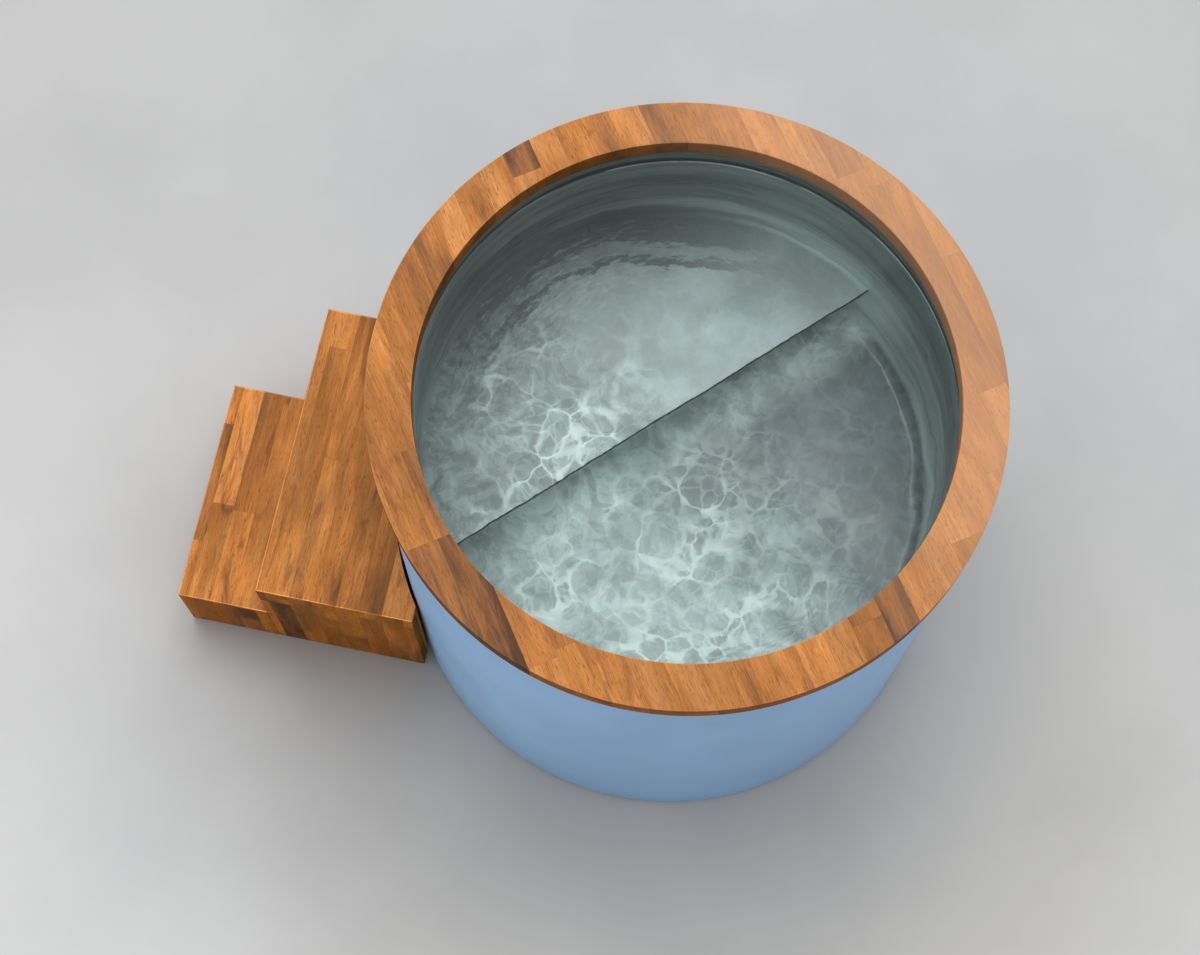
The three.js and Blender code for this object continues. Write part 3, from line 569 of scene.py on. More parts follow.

    # painted light: the wall drawn lighter near the floor
    wall = mixed(tree, span(tree, z, 0.50, 0.82), tankLook["litWallFoot"], tankLook["wall"])
    # soft horizontal bands of painted light and shade
    bands = noise(tree, scaled(tree, place, (2.2, 2.2, 22.0)), 1.0, 1.5, 0.5)
    wall = mixed(tree, 1.0, wall, span(tree, bands, 0.3, 0.7, 0.72, 1.30), "MULTIPLY")
    # painted shade on the wall round the bench side
    wall = mixed(tree, 1.0, wall, span(tree, facing, 0.6, 1.0, 1.0, 0.80), "MULTIPLY")
    # painted light on the low wall
    lowWall = calc(tree, "MULTIPLY", span(tree, z, 0.90, 0.66), 0.80)
    wallLit = calc(tree, "MULTIPLY", span(tree, dotted(tree, outward, bearingAxis(tankLook["wallLight"])), 0.74, 1.0), lowWall)
    wall = mixed(tree, 1.0, wall, calc(tree, "ADD", wallLit, 1.0), "MULTIPLY")
    # painted shade on the upper wall at the right
    rightTop = calc(tree, "MULTIPLY", span(tree, ox, 0.30, 0.85), span(tree, z, 0.72, 0.88))
    wall = mixed(tree, calc(tree, "MULTIPLY", rightTop, 0.72), wall, tankLook["shadow"])
    line = tankLook["waterLine"]
    # painted shade on the wall above the waterline
    wall = mixed(tree, span(tree, z, line, line + 0.004), wall, tankLook["shadeAboveWater"])
    # painted reflection: fine dark lines on the wall above the water
    reflectedLines = noise(tree, scaled(tree, place, (1.5, 1.5, 150.0)), 1.0, 2.0, 0.5)
    above = calc(tree, "GREATER_THAN", z, line)
    wall = mixed(tree, calc(tree, "MULTIPLY", span(tree, reflectedLines, 0.54, 0.64), above), wall, (0.020, 0.026, 0.024, 1))
    # painted highlight along the waterline, brighter toward +X and +Y, and a painted dark line just above it
    broken = span(tree, noise(tree, scaled(tree, place, (9.0, 9.0, 1.0)), 1.0, 3.0), 0.40, 0.58)
    bright = calc(tree, "MULTIPLY", broken, span(tree, calc(tree, "ADD", x, y), -0.35, 0.45, 0.25, 1.0))
    meniscusHighlight = calc(tree, "COMPARE", z, line + 0.0032, 0.0032)
    gloom = calc(tree, "COMPARE", z, line + 0.0125, 0.0060)
    wall = mixed(tree, calc(tree, "MULTIPLY", gloom, 0.9), wall, (0.010, 0.014, 0.013, 1))
    wall = mixed(tree, calc(tree, "MULTIPLY", meniscusHighlight, bright), wall, (0.62, 0.68, 0.66, 1))
    colour = mixed(tree, span(tree, radius, *tankLook["wallEdge"]), colour, wall)
    streaks = noise(tree, scaled(tree, place, (8.0, 8.0, 180.0)), 1.0, 3.0)
    feed(tree, surface, Base_Color=colour, Roughness=span(tree, streaks, 0.3, 0.7, 0.26, 0.40))
    return material


tankFinish = tankMaterial("tankFinish")


def waterMaterial(name):
    material, tree, surface, place = newMaterial(name)
    ripple = noise(tree, place, 38.0, 2.0)
    feed(tree, surface, Base_Color=(0.945, 0.980, 0.982, 1), Roughness=0.0, IOR=1.333, Transmission_Weight=1.0)
    feed(tree, surface, Normal=bump(tree, ripple, 0.08, 0.004))
    clear = addNode(tree, "ShaderNodeBsdfTransparent", {"Color": (0.95, 0.99, 0.98, 1)})
    path = addNode(tree, "ShaderNodeLightPath")
    passing = calc(tree, "MAXIMUM", path.outputs["Is Shadow Ray"], path.outputs["Is Diffuse Ray"])
    both = addNode(tree, "ShaderNodeMixShader", {0: passing, 1: surface.outputs[0], 2: clear.outputs[0]})
    output = next(n for n in tree.nodes if n.type == "OUTPUT_MATERIAL")
    tree.links.new(both.outputs[0], output.inputs["Surface"])
    return material


waterFinish = waterMaterial("clearWater")
print("tank and water finishes made")


# Turned pieces: a profile of (radius, height) points swept round Z, with grip ribs or flats where asked
def newTree(name, sizes):
    tree = bpy.data.node_groups.new(name, "GeometryNodeTree")
    face = tree.interface
    face.new_socket("Geometry", in_out="INPUT", socket_type="NodeSocketGeometry")
    for label, (kind, value) in sizes.items():
        socket = face.new_socket(label, in_out="INPUT", socket_type="NodeSocket" + kind)
        if value is not None:
            socket.default_value = value
    face.new_socket("Geometry", in_out="OUTPUT", socket_type="NodeSocketGeometry")
    given = addNode(tree, "NodeGroupInput").outputs
    return tree, given


def closeTree(tree, geometry, material):
    real = addNode(tree, "GeometryNodeRealizeInstances", {0: geometry}).outputs[0]
    dressed = addNode(tree, "GeometryNodeSetMaterial", {"Geometry": real, "Material": material}).outputs[0]
    addNode(tree, "NodeGroupOutput", {"Geometry": dressed})
    return tree


def sweepProfile(tree, given):
    # a grid with one column for each profile point and one row for each turn, bent round Z
    count = addNode(tree, "GeometryNodeAttributeDomainSize", {0: given["Geometry"]}).outputs["Point Count"]
    rows = calc(tree, "ADD", given["Around"], 1.0)
    grid = addNode(tree, "GeometryNodeMeshGrid", {"Vertices X": rows, "Vertices Y": count}).outputs["Mesh"]
    index = addNode(tree, "GeometryNodeInputIndex").outputs[0]
    turn = calc(tree, "FLOOR", calc(tree, "DIVIDE", calc(tree, "ADD", index, 0.5), count))
    angle = calc(tree, "MULTIPLY", calc(tree, "DIVIDE", turn, given["Around"]), 2 * math.pi)
    column = calc(tree, "SUBTRACT", index, calc(tree, "MULTIPLY", turn, count))
    place = addNode(tree, "GeometryNodeInputPosition").outputs[0]
    inputs = {"Geometry": given["Geometry"], "Value": place, "Index": column}
    point = addNode(tree, "GeometryNodeSampleIndex", inputs, data_type="FLOAT_VECTOR", domain="POINT").outputs[0]
    return grid, point, angle


def bendRound(tree, grid, point, angle):
    inputs = {"Vector": point, "Angle": angle}
    bent = addNode(tree, "ShaderNodeVectorRotate", inputs, rotation_type="Z_AXIS").outputs[0]
    placed = addNode(tree, "GeometryNodeSetPosition", {"Geometry": grid, "Position": bent}).outputs[0]
    return addNode(tree, "GeometryNodeMergeByDistance", {"Geometry": placed, "Distance": 2e-6}).outputs[0]


def makeTurnedTree():
    sizes = {
        "Around": ("Int", 192),
        "Ribs": ("Int", 0),
        "Rib Depth": ("Float", 0.0),
        "Flats": ("Int", 0),
        "Shaped Past": ("Float", 10.0),
        "Material": ("Material", None),
    }
    tree, given = newTree("turnedPiece", sizes)
    grid, point, angle = sweepProfile(tree, given)
    r, y, z = addNode(tree, "ShaderNodeSeparateXYZ", {0: point}).outputs
    shaped = calc(tree, "GREATER_THAN", r, given["Shaped Past"])
    wave = calc(tree, "COSINE", calc(tree, "MULTIPLY", angle, given["Ribs"]))
    crest = span(tree, wave, -0.35, 0.35)
    dip = calc(tree, "MULTIPLY", calc(tree, "MULTIPLY", calc(tree, "SUBTRACT", 1.0, crest), given["Rib Depth"]), shaped)
    sector = calc(tree, "DIVIDE", 2 * math.pi, calc(tree, "MAXIMUM", given["Flats"], 1.0))
    inSector = calc(tree, "SUBTRACT", calc(tree, "MODULO", angle, sector), calc(tree, "DIVIDE", sector, 2.0))
    flatR = calc(
        tree,
        "MULTIPLY",
        r,
        calc(tree, "DIVIDE", calc(tree, "COSINE", calc(tree, "DIVIDE", sector, 2.0)), calc(tree, "COSINE", inSector)),
    )
    useFlat = calc(tree, "MULTIPLY", shaped, calc(tree, "GREATER_THAN", given["Flats"], 2.0))
    radius = calc(tree, "SUBTRACT", r, dip)
    radius = calc(tree, "ADD", radius, calc(tree, "MULTIPLY", useFlat, calc(tree, "SUBTRACT", flatR, r)))
    shapedPoint = addNode(tree, "ShaderNodeCombineXYZ", {0: radius, 2: z}).outputs[0]
    return closeTree(tree, bendRound(tree, grid, shapedPoint, angle), given["Material"])


def setInputs(modifier, values):
    for item in modifier.node_group.interface.items_tree:
        if item.in_out == "INPUT" and item.name in values:
            modifier[item.identifier] = values[item.name]


def newPiece(name, mesh):
    piece = bpy.data.objects.new(name, mesh)
    scene.collection.objects.link(piece)
    return piece


def settle(piece):
    # the evaluated shape becomes the piece's own plain mesh
    bpy.context.view_layer.update()
    depsgraph = bpy.context.evaluated_depsgraph_get()
    mesh = bpy.data.meshes.new_from_object(piece.evaluated_get(depsgraph), depsgraph=depsgraph)
    piece.modifiers.clear()
    old = piece.data
    piece.data = mesh
    mesh.name = piece.name
    bpy.data.meshes.remove(old)
    return piece


def wear(piece, material):
    mesh = piece.data
    mesh.materials.clear()
    mesh.materials.append(material)
    mesh.polygons.foreach_set("material_index", [0] * len(mesh.polygons))


def smooth(piece, angle=32.0):
    mesh = piece.data
    mesh.polygons.foreach_set("use_smooth", [True] * len(mesh.polygons))
    mesh.set_sharp_from_angle(angle=math.radians(angle))
    return piece


def faceOut(piece):
    bm = bmesh.new()
    bm.from_mesh(piece.data)
    bmesh.ops.recalc_face_normals(bm, faces=bm.faces[:])
    if bm.calc_volume(signed=True) < 0:
        bmesh.ops.reverse_faces(bm, faces=bm.faces[:])
    bm.to_mesh(piece.data)
    bm.free()
    return piece


turnedTree = makeTurnedTree()


def turnedPiece(name, outline, material, tree=turnedTree, place=None, **sizes):
    mesh = bpy.data.meshes.new(name)
    points = [(r, 0, z) for r, z in outline]
    mesh.from_pydata(points, [(i, i + 1) for i in range(len(points) - 1)], [])
    piece = newPiece(name, mesh)
    shape = piece.modifiers.new("turning", "NODES")
    shape.node_group = tree
    values = {key.replace("_", " "): value for key, value in sizes.items()}
    setInputs(shape, {**values, "Material": material})
    settle(piece)
    wear(piece, material)
    if place is not None:
        piece.data.transform(place)
    return smooth(faceOut(piece))


def roundCorner(centre, radius, start, end, steps=5):
    # points of an arc, angles in degrees
    points = []
    for i in range(steps + 1):
        a = math.radians(start + (end - start) * i / steps)
        points.append((centre[0] + radius * math.cos(a), centre[1] + radius * math.sin(a)))
    return points


def roundedRing(inner, outer, low, high, ease):
    # closed profile of a ring with eased edges
    outline = (
        roundCorner((inner + ease, low + ease), ease, 180, 270)
        + roundCorner((outer - ease, low + ease), ease, 270, 360)
        + roundCorner((outer - ease, high - ease), ease, 0, 90)
        + roundCorner((inner + ease, high - ease), ease, 90, 180)
    )
    return outline + outline[:1]


# Wooden rim: one edge-glued board, cut to a ring
rim = {
    "inner": 0.513,
    "outer": 0.600,
    "ease": 0.003,
    "around": 288,
    "grainBearing": -55.3,
}
rimLay = {
    "grain": (math.cos(math.radians(rim["grainBearing"])), math.sin(math.radians(rim["grainBearing"])), 0),
    "across": (-math.sin(math.radians(rim["grainBearing"])), math.cos(math.radians(rim["grainBearing"])), 0),
    "width": 0.057,
    "phase": 0.81,
    "length": 0.52,
    "seed": 11,
    "tone": 0.62,
    "spread": 0.27,
    "dark": 0.10,
    "contrast": 0.30,
    "heartShare": 0.40,
    "zones": (0.85, 1.17),
    "tint": (1.02, 1.01, 1.08),
    # painted sheen: the rim drawn paler toward +X and +Y
    "paintedSheen": ((0.80, 0.60, 0), (0.02, 0.52), 0.9),
    "retoned": [(-0.395, -0.425, 0.58)],
    "accents": [
        (-0.105, -0.70, -0.531, 0.08),
        (-0.168, -0.70, -0.40, 0.90),
        (-0.225, -0.70, -0.36, 0.46),
        (-0.282, -0.70, -0.33, 0.88),
        (-0.200, 0.30, 0.66, 0.80),
        (-0.304, 0.30, 0.62, 0.78),
        (-0.534, -0.40, 0.08, 0.66),
        (-0.482, -0.50, -0.10, 0.62),
        (0.049, -0.70, -0.42, 0.36),
        (-0.333, -0.62, -0.30, 0.34),
        (0.204, 0.40, 0.75, 0.18),
        (-0.511, 0.08, 0.40, 0.06),
        (-0.445, 0.02, 0.367, 0.42),
        (-0.470, -0.50, -0.222, 0.70),
        (0.518, 0.213, 0.60, 0.80),
    ],
}
# eased edges drawn lighter: painted highlight
rimEaseHighlightLay = {**rimLay, "tint": (1.30, 1.26, 1.18)}
# upright sides drawn darker: partly the darker end grain, partly painted shade
rimSideShadeLay = {**rimLay, "tint": (0.50, 0.42, 0.28), "gloss": 0.04, "roughness": (0.45, 0.60)}


def makeRim():
    low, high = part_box("rim_board")
    outline = roundedRing(rim["inner"], rim["outer"], low.z, high.z, rim["ease"])
    piece = turnedPiece("woodenRim", outline, woodMaterial("rimWood", rimLay), Around=rim["around"])
    layStaves(piece, rimLay)
    piece.data.materials.append(woodMaterial("rimEdgeWood", rimSideShadeLay))
    piece.data.materials.append(woodMaterial("rimEaseWood", rimEaseHighlightLay))
    # upright sides take the darker finish, eased edges the lighter finish
    for face in piece.data.polygons:
        upward = abs(face.normal.z)
        face.material_index = 1 if upward < 0.3 else 2 if upward < 0.97 else 0
    smooth(piece)
    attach(piece, "tub")
    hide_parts("rim_board")


makeRim()
print("rim made")

# Blue shell: one sheet with its top and bottom edges turned in
shell = {
    "radius": 0.590,
    "wall": 0.002,
    "lip": 0.027,
    "bend": 0.004,
    "around": 256,
}


def makeShell():
    outer, inner = shell["radius"], shell["radius"] - shell["wall"]
    low, high = (corner.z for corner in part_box("outer_shell"))
    bend, wall = shell["bend"], shell["wall"]
    lip = outer - shell["lip"]
    fold = bend - wall
    outline = (
        [(lip, low)]
        + roundCorner((outer - bend, low + bend), bend, 270, 360)
        + roundCorner((outer - bend, high - bend), bend, 0, 90)
        + [(lip, high), (lip, high - wall)]
        + roundCorner((inner - fold, high - wall - fold), fold, 90, 0)
        + roundCorner((inner - fold, low + wall + fold), fold, 360, 270)
        + [(lip, low + wall), (lip, low)]
    )
    piece = turnedPiece("blueShell", outline, shellPaint, Around=shell["around"])
    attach(piece, "tub")
    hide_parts("outer_shell")


makeShell()
print("shell made")

# Tank: floor and wall in one moulding, with a flange under the rim
tank = {
    "radius": 0.524,
    "wall": 0.004,
    "corner": 0.040,
    "floor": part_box("tank_floor")[0].z + 0.004,
    "flange": 0.586,
    "around": 256,
}


def makeTank():
    inside, wall, corner = tank["radius"], tank["wall"], tank["corner"]
    outside, floor, top = inside + wall, tank["floor"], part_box("tank_wall")[1].z
    centre = (inside - corner, floor + corner)
    outline = (
        [(0, floor - wall)]
        + roundCorner(centre, corner + wall, 270, 360, 10)
        + [(outside, top - wall), (tank["flange"], top - wall), (tank["flange"], top), (inside, top)]
        + roundCorner(centre, corner, 360, 270, 10)
        + [(inside * 0.6, floor), (inside * 0.3, floor), (0, floor)]
    )
    piece = turnedPiece("tankLiner", outline, tankFinish, Around=tank["around"])
    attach(piece, "tub")
    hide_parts("tank_wall", "tank_floor")


makeTank()
print("tank made")

# Bench seat under water, its front face drawn mid grey with a dark line along its top: painted shade
bench = {
    "bearing": 134.5,
    "front": 0.080,
    "radius": 0.5262,
    "low": 0.618,
    "high": 0.640,
    "ease": 0.0018,
    "arcSteps": 120,
    "edgeShade": ((0.330, 0.400, 0.392, 1), (0.022, 0.028, 0.027, 1)),  # painted shade: its face, and the dark line along its top
    "edgeShadeLine": (0.6285, 0.6305),
}


def edgeShadeMaterial(name):
    material, tree, surface, place = newMaterial(name)
    height = addNode(tree, "ShaderNodeSeparateXYZ", {0: place}).outputs[2]
    # painted shade: a mid grey face with a dark line along its top
    colour = mixed(tree, span(tree, height, *bench["edgeShadeLine"]), *bench["edgeShade"])
    clouds = noise(tree, place, 60.0, 3.0)
    colour = mixed(tree, 1.0, colour, span(tree, clouds, 0.3, 0.7, 0.8, 1.2), "MULTIPLY")
    feed(tree, surface, Base_Color=colour, Roughness=0.6)
    return material


def bevelPiece(piece, width, segments=3):
    bevel = piece.modifiers.new("ease", "BEVEL")
    bevel.width = width
    bevel.segments = segments
    bevel.limit_method = "ANGLE"
    bevel.angle_limit = math.radians(40)
    bevel.harden_normals = False
    return settle(piece)


def makeBench():
    half = math.acos(bench["front"] / bench["radius"])
    outline = []
    for i in range(bench["arcSteps"] + 1):
        a = half * (2 * i / bench["arcSteps"] - 1)
        outline.append((bench["radius"] * math.cos(a), bench["radius"] * math.sin(a)))
    bm = bmesh.new()
    lower = [bm.verts.new((x, y, bench["low"])) for x, y in outline]
    upper = [bm.verts.new((x, y, bench["high"])) for x, y in outline]
    bm.faces.new(lower[::-1])
    bm.faces.new(upper)
    count = len(outline)
    for i in range(count):
        j = (i + 1) % count
        side = bm.faces.new((lower[i], lower[j], upper[j], upper[i]))
        side.material_index = 1 if j == 0 else 0
    mesh = bpy.data.meshes.new("benchSeat")
    bm.to_mesh(mesh)
    bm.free()
    mesh.materials.append(tankFinish)
    mesh.materials.append(edgeShadeMaterial("benchEdgeBand"))
    mesh.transform(Matrix.Rotation(math.radians(bench["bearing"]), 4, "Z"))
    piece = smooth(faceOut(bevelPiece(newPiece("benchSeat", mesh), bench["ease"], 2)))
    piece.visible_shadow = False  # in the photo the floor beside it is as light as the rest
    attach(piece, "tub")
    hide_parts("bench_seat")


makeBench()
print("bench made")

# Water: a body that fills the tank up to a rippled top
water = {
    "level": 0.960,
    "sink": 0.0015,
    "meniscus": 0.0032,
    "meniscusWidth": 0.0035,
    "rings": 84,
    "around": 300,
    "wave": 0.0030,
    "waveScale": 9.0,
    "edgeWave": 0.0034,
}


def makeWaterTree():
    sizes = {
        "Around": ("Int", 300),
        "Level": ("Float", 0.96),
        "Radius": ("Float", 0.524),
        "Wave": ("Float", 0.002),
        "Edge Wave": ("Float", 0.003),
        "Wave Scale": ("Float", 9.0),
        "Material": ("Material", None),
    }
    tree, given = newTree("rippledWater", sizes)
    grid, point, angle = sweepProfile(tree, given)
    body = bendRound(tree, grid, point, angle)
    place = addNode(tree, "GeometryNodeInputPosition").outputs[0]
    x, y, z = addNode(tree, "ShaderNodeSeparateXYZ", {0: place}).outputs
    flat = addNode(tree, "ShaderNodeCombineXYZ", {0: x, 1: y}).outputs[0]
    radius = addNode(tree, "ShaderNodeVectorMath", {0: flat}, operation="LENGTH").outputs["Value"]
    swell = calc(tree, "SUBTRACT", noise(tree, flat, given["Wave Scale"], 1.5, 0.4), 0.5)
    away = calc(tree, "MAXIMUM", radius, 0.01)
    turned = {0: calc(tree, "DIVIDE", x, away), 1: calc(tree, "DIVIDE", y, away), 2: calc(tree, "MULTIPLY", away, 5.5)}
    polar = addNode(tree, "ShaderNodeCombineXYZ", turned).outputs[0]
    fine = calc(tree, "SUBTRACT", noise(tree, polar, calc(tree, "MULTIPLY", given["Wave Scale"], 0.45), 2.0, 0.5), 0.5)
    outward = calc(tree, "DIVIDE", radius, given["Radius"])
    nearWall = span(tree, outward, 0.62, 0.9)
    calm = span(tree, outward, 0.965, 1.0, 1.0, 0.0)
    rise = calc(tree, "MULTIPLY", swell, given["Wave"])
    rise = calc(tree, "ADD", rise, calc(tree, "MULTIPLY", calc(tree, "MULTIPLY", fine, given["Edge Wave"]), nearWall))
    onTop = calc(tree, "GREATER_THAN", z, calc(tree, "SUBTRACT", given["Level"], 0.02))
    rise = calc(tree, "MULTIPLY", calc(tree, "MULTIPLY", rise, calm), onTop)
    offset = addNode(tree, "ShaderNodeCombineXYZ", {2: rise}).outputs[0]
    waved = addNode(tree, "GeometryNodeSetPosition", {"Geometry": body, "Offset": offset}).outputs[0]
    return closeTree(tree, waved, given["Material"])


def makeWater():
    side = tank["radius"] + water["sink"]
    bottom = tank["floor"] - water["sink"]
    corner = tank["corner"] + water["sink"]
    level = water["level"]
    outline = [(0, bottom)] + roundCorner((side - corner, bottom + corner), corner, 270, 360, 8)
    top = [side]
    for i in range(8):
        top.append(tank["radius"] - 0.0012 * i)
    edge = top[-1]
    top += [edge * (1 - (i + 1) / water["rings"]) for i in range(water["rings"])]
    for r in top:
        away = max(0.0, tank["radius"] - r)
        outline.append((r, level + water["meniscus"] * math.exp(-away / water["meniscusWidth"])))
    sizes = {"Level": level, "Radius": tank["radius"], "Wave": water["wave"], "Edge_Wave": water["edgeWave"]}
    piece = turnedPiece(
        "water",
        outline,
        waterFinish,
        makeWaterTree(),
        Around=water["around"],
        Wave_Scale=water["waveScale"],
        **sizes,
    )
    smooth(piece, 80.0)
    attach(piece, "tub")  # the tub's contents, so it has no slot in the record


makeWater()
print("water poured")

# Steps: boards mitred along their top edges, each with its outer edges eased
steps = {
    "ease": 0.0030,
    "joint": 0.00012,
    "scoop": 0.597,
    "scoopSides": 360,
    "board": 0.028,
}
treadLay = {
    "grain": (0, 1, 0),
    "across": (1, 0, 0),
    "width": 0.048,
    "phase": 0.5,
    "length": 0.52,
    "seed": 5,
    "tone": 0.70,
    "spread": 0.12,
    "dark": 0.08,
    "contrast": 0.30,
    "heartShare": 0.50,
    "tint": (0.95, 0.86, 0.74),
    "accents": [(-0.680, -0.113, 0.14, 0.62), (-0.680, -0.40, -0.113, 0.50), (-0.810, -0.40, 0.30, 0.82)],
    "retoned": [(-0.780, -0.20, 0.80), (-0.780, 0.10, 0.77), (-0.730, 0.00, 0.66)],
}
lowerLay = {
    **treadLay,
    "seed": 14,
    "tone": 0.84,
    "heartShare": 0.74,
    "tint": (1.13, 1.06, 0.95),
    "paintedShade": ((1, 0, 0), (-0.892, -0.832), 0.62),  # painted shade on the lower tread under the upper step's riser
    "accents": [(-1.015, -0.248, 0.03, 0.36), (-0.915, -0.164, 0.13, 0.46)],
}
nearTones = [(-0.900, 0.110, 0.200, 0.06), (-0.787, -0.05, 0.33, 0.16)]
uprightLay = {
    **treadLay,
    "grain": (0, 0, 1),
    "across": (1, 0, 0),
    "width": 0.050,
    "seed": 8,
    "tone": 0.48,
    "spread": 0.05,
    "dark": 0.0,
    "heartShare": 0.35,
    "accents": nearTones,
    "retoned": [],
    "tint": (0.84, 0.71, 0.34),
    "gloss": 0.04,
    "roughness": (0.45, 0.60),
}
# eased edges drawn lighter: painted highlight
easeHighlightLay = {**treadLay, "tint": (1.85, 1.72, 1.48)}
riserLay = {**uprightLay, "accents": [], "grain": (0, 1, 0), "across": (0, 0, 1), "seed": 21, "length": 0.5}


def planeCut(bm, point, normal):
    geometry = bm.verts[:] + bm.edges[:] + bm.faces[:]
    bmesh.ops.bisect_plane(bm, geom=geometry, plane_co=point, plane_no=normal, clear_outer=True)
    open_ = [e for e in bm.edges if e.is_boundary]
    if open_:
        bmesh.ops.edgeloop_fill(bm, edges=open_)


def easeEdge(bm, corner, first, second, radius, start, end, facets):
    # rounds the edge where faces that look along first and second meet, from start to end degrees
    first, second = Vector(first), Vector(second)
    centre = Vector(corner) - radius * (first + second)
    for i in range(facets):
        a = math.radians(start + (end - start) * (i + 0.5) / facets)
        normal = first * math.cos(a) + second * math.sin(a)
        planeCut(bm, centre + normal * radius, normal)


def board(low, high, mitres=(), eases=()):
    # a box whose mitred edges keep half of the eased corner each
    bm = bmesh.new()
    bmesh.ops.create_cube(bm, size=1)
    low, high = Vector(low), Vector(high)
    bmesh.ops.scale(bm, vec=high - low, verts=bm.verts)
    bmesh.ops.translate(bm, vec=(low + high) / 2, verts=bm.verts)

    def cornerOf(first, second):
        outward = Vector(first) + Vector(second)
        return [high[k] if outward[k] > 0 else low[k] for k in range(3)]

    for kept, lost in mitres:
        corner = Vector(cornerOf(kept, lost))
        normal = (Vector(lost) - Vector(kept)).normalized()
        planeCut(bm, corner - normal * steps["joint"], normal)
        easeEdge(bm, corner, kept, lost, steps["ease"], 0, 45, 2)
    for first, second in eases:
        easeEdge(bm, cornerOf(first, second), first, second, steps["ease"], 0, 90, 4)
    return bm


def boardPiece(name, bms, lay, material, ease, node, scoop=False):
    pieces = []
    for i, bm in enumerate(bms):
        mesh = bpy.data.meshes.new(name)
        bm.to_mesh(mesh)
        bm.free()
        pieces.append(newPiece(name if i == 0 else name + "Part", mesh))
    piece = pieces[0]
    tools = [(part, "UNION") for part in pieces[1:]]
    if scoop:
        mesh = bpy.data.meshes.new("scoopTool")
        cutter = bmesh.new()
        bmesh.ops.create_cone(
            cutter,
            cap_ends=True,
            segments=steps["scoopSides"],
            radius1=steps["scoop"],
            radius2=steps["scoop"],
            depth=3,
        )
        cutter.to_mesh(mesh)
        cutter.free()
        tools.append((newPiece("scoopTool", mesh), "DIFFERENCE"))
    for tool, operation in tools:
        join = piece.modifiers.new("join", "BOOLEAN")
        join.object = tool
        join.operation = operation
        join.solver = "EXACT"
    if tools:
        settle(piece)
    for tool, operation in tools:
        bpy.data.objects.remove(tool)
    faceOut(piece)
    layStaves(piece, lay)
    wear(piece, material)
    piece.data.materials.append(ease)
    # eased faces take the lighter finish: painted highlight along the edges
    for face in piece.data.polygons:
        if 0.1 < abs(face.normal.z) < 0.99:
            face.material_index = 1
    smooth(piece, 28.0)
    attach(piece, "steps")
    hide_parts(node)
    return piece


def makeSteps():
    up, front, near, far = (0, 0, 1), (-1, 0, 0), (0, -1, 0), (0, 1, 0)
    upperWood = woodMaterial("upperTreadWood", treadLay)
    lowerWood = woodMaterial("lowerTreadWood", lowerLay)
    sideWood = woodMaterial("sideWood", uprightLay)
    riserWood = woodMaterial("riserWood", riserLay)
    easeHighlightWood = woodMaterial("treadEaseWood", easeHighlightLay)
    # eased edges of the uprights drawn lighter: painted highlight
    sideEaseHighlight = woodMaterial("sideEaseWood", {**uprightLay, "tint": (1.15, 1.05, 0.80)})
    riserEaseHighlight = woodMaterial("riserEaseWood", {**riserLay, "tint": (1.15, 1.05, 0.80)})
    sideLow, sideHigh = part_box("near_side")
    treadEnds = [(up, front), (up, near), (up, far)]
    for name, node, scoop in (("upperTread", "upper_tread", True), ("lowerTread", "lower_tread", False)):
        low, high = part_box(node)
        low = Vector((round(low.x, 3), round(low.y, 3), low.z))
        lay, wood = (treadLay, upperWood) if scoop else (lowerLay, lowerWood)
        boardPiece(name, [board(low, high, treadEnds)], lay, wood, easeHighlightWood, node, scoop)

    upperLow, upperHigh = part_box("upper_riser")
    lowerTreadLow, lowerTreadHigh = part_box("lower_tread")
    inner = sideLow.y + steps["board"]
    split = upperLow.x
    foot = sideLow.z
    lowerPart = board(
        (sideLow.x, sideLow.y, foot), (split, inner, lowerTreadHigh.z), [(near, up)], [(front, near)]
    )
    upperPart = board((split, sideLow.y, foot), (sideHigh.x, inner, sideHigh.z), [(near, up)], [(front, near)])
    boardPiece("nearSide", [upperPart, lowerPart], uprightLay, sideWood, sideEaseHighlight, "near_side", True)

    for name, node, scoop in (("upperFarSide", "upper_far_side", True), ("lowerFarSide", "lower_far_side", False)):
        low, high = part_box(node)
        bm = board(low, high, [(far, up)], [(front, far)])
        boardPiece(name, [bm], {**uprightLay, "accents": [], "seed": 30 + scoop}, sideWood, sideEaseHighlight, node, scoop)
    for name, node in (("upperRiser", "upper_riser"), ("lowerRiser", "lower_riser")):
        low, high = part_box(node)
        lay = {**riserLay, "seed": len(node)}
        boardPiece(name, [board(low, high, [(front, up)])], lay, riserWood, riserEaseHighlight, node)


makeSteps()
print("steps made")


# Curved back of the steps, laid with upright staves like the sides
def makeStepBack():
    node = nodes["curved_back"]
    mesh = node.data.copy()
    mesh.name = "curvedBack"
    mesh.transform(node.matrix_world)
    piece = newPiece("curvedBack", mesh)
    # drawn lighter than the other uprights, against the shade in the narrow gap by the tub: painted light
    lay = {**uprightLay, "accents": [], "across": (0, 1, 0), "seed": 17, "tone": 0.66, "tint": (1.30, 1.12, 0.70)}
    bm = bmesh.new()
    bm.from_mesh(mesh)
    bmesh.ops.remove_doubles(bm, verts=bm.verts[:], dist=1e-5)
    bm.to_mesh(mesh)
    bm.free()
    faceOut(piece)
    layStaves(piece, lay)
    wear(piece, woodMaterial("backWood", lay))
    smooth(piece)
    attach(piece, "steps")
    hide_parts("curved_back")


makeStepBack()
print("step back made")

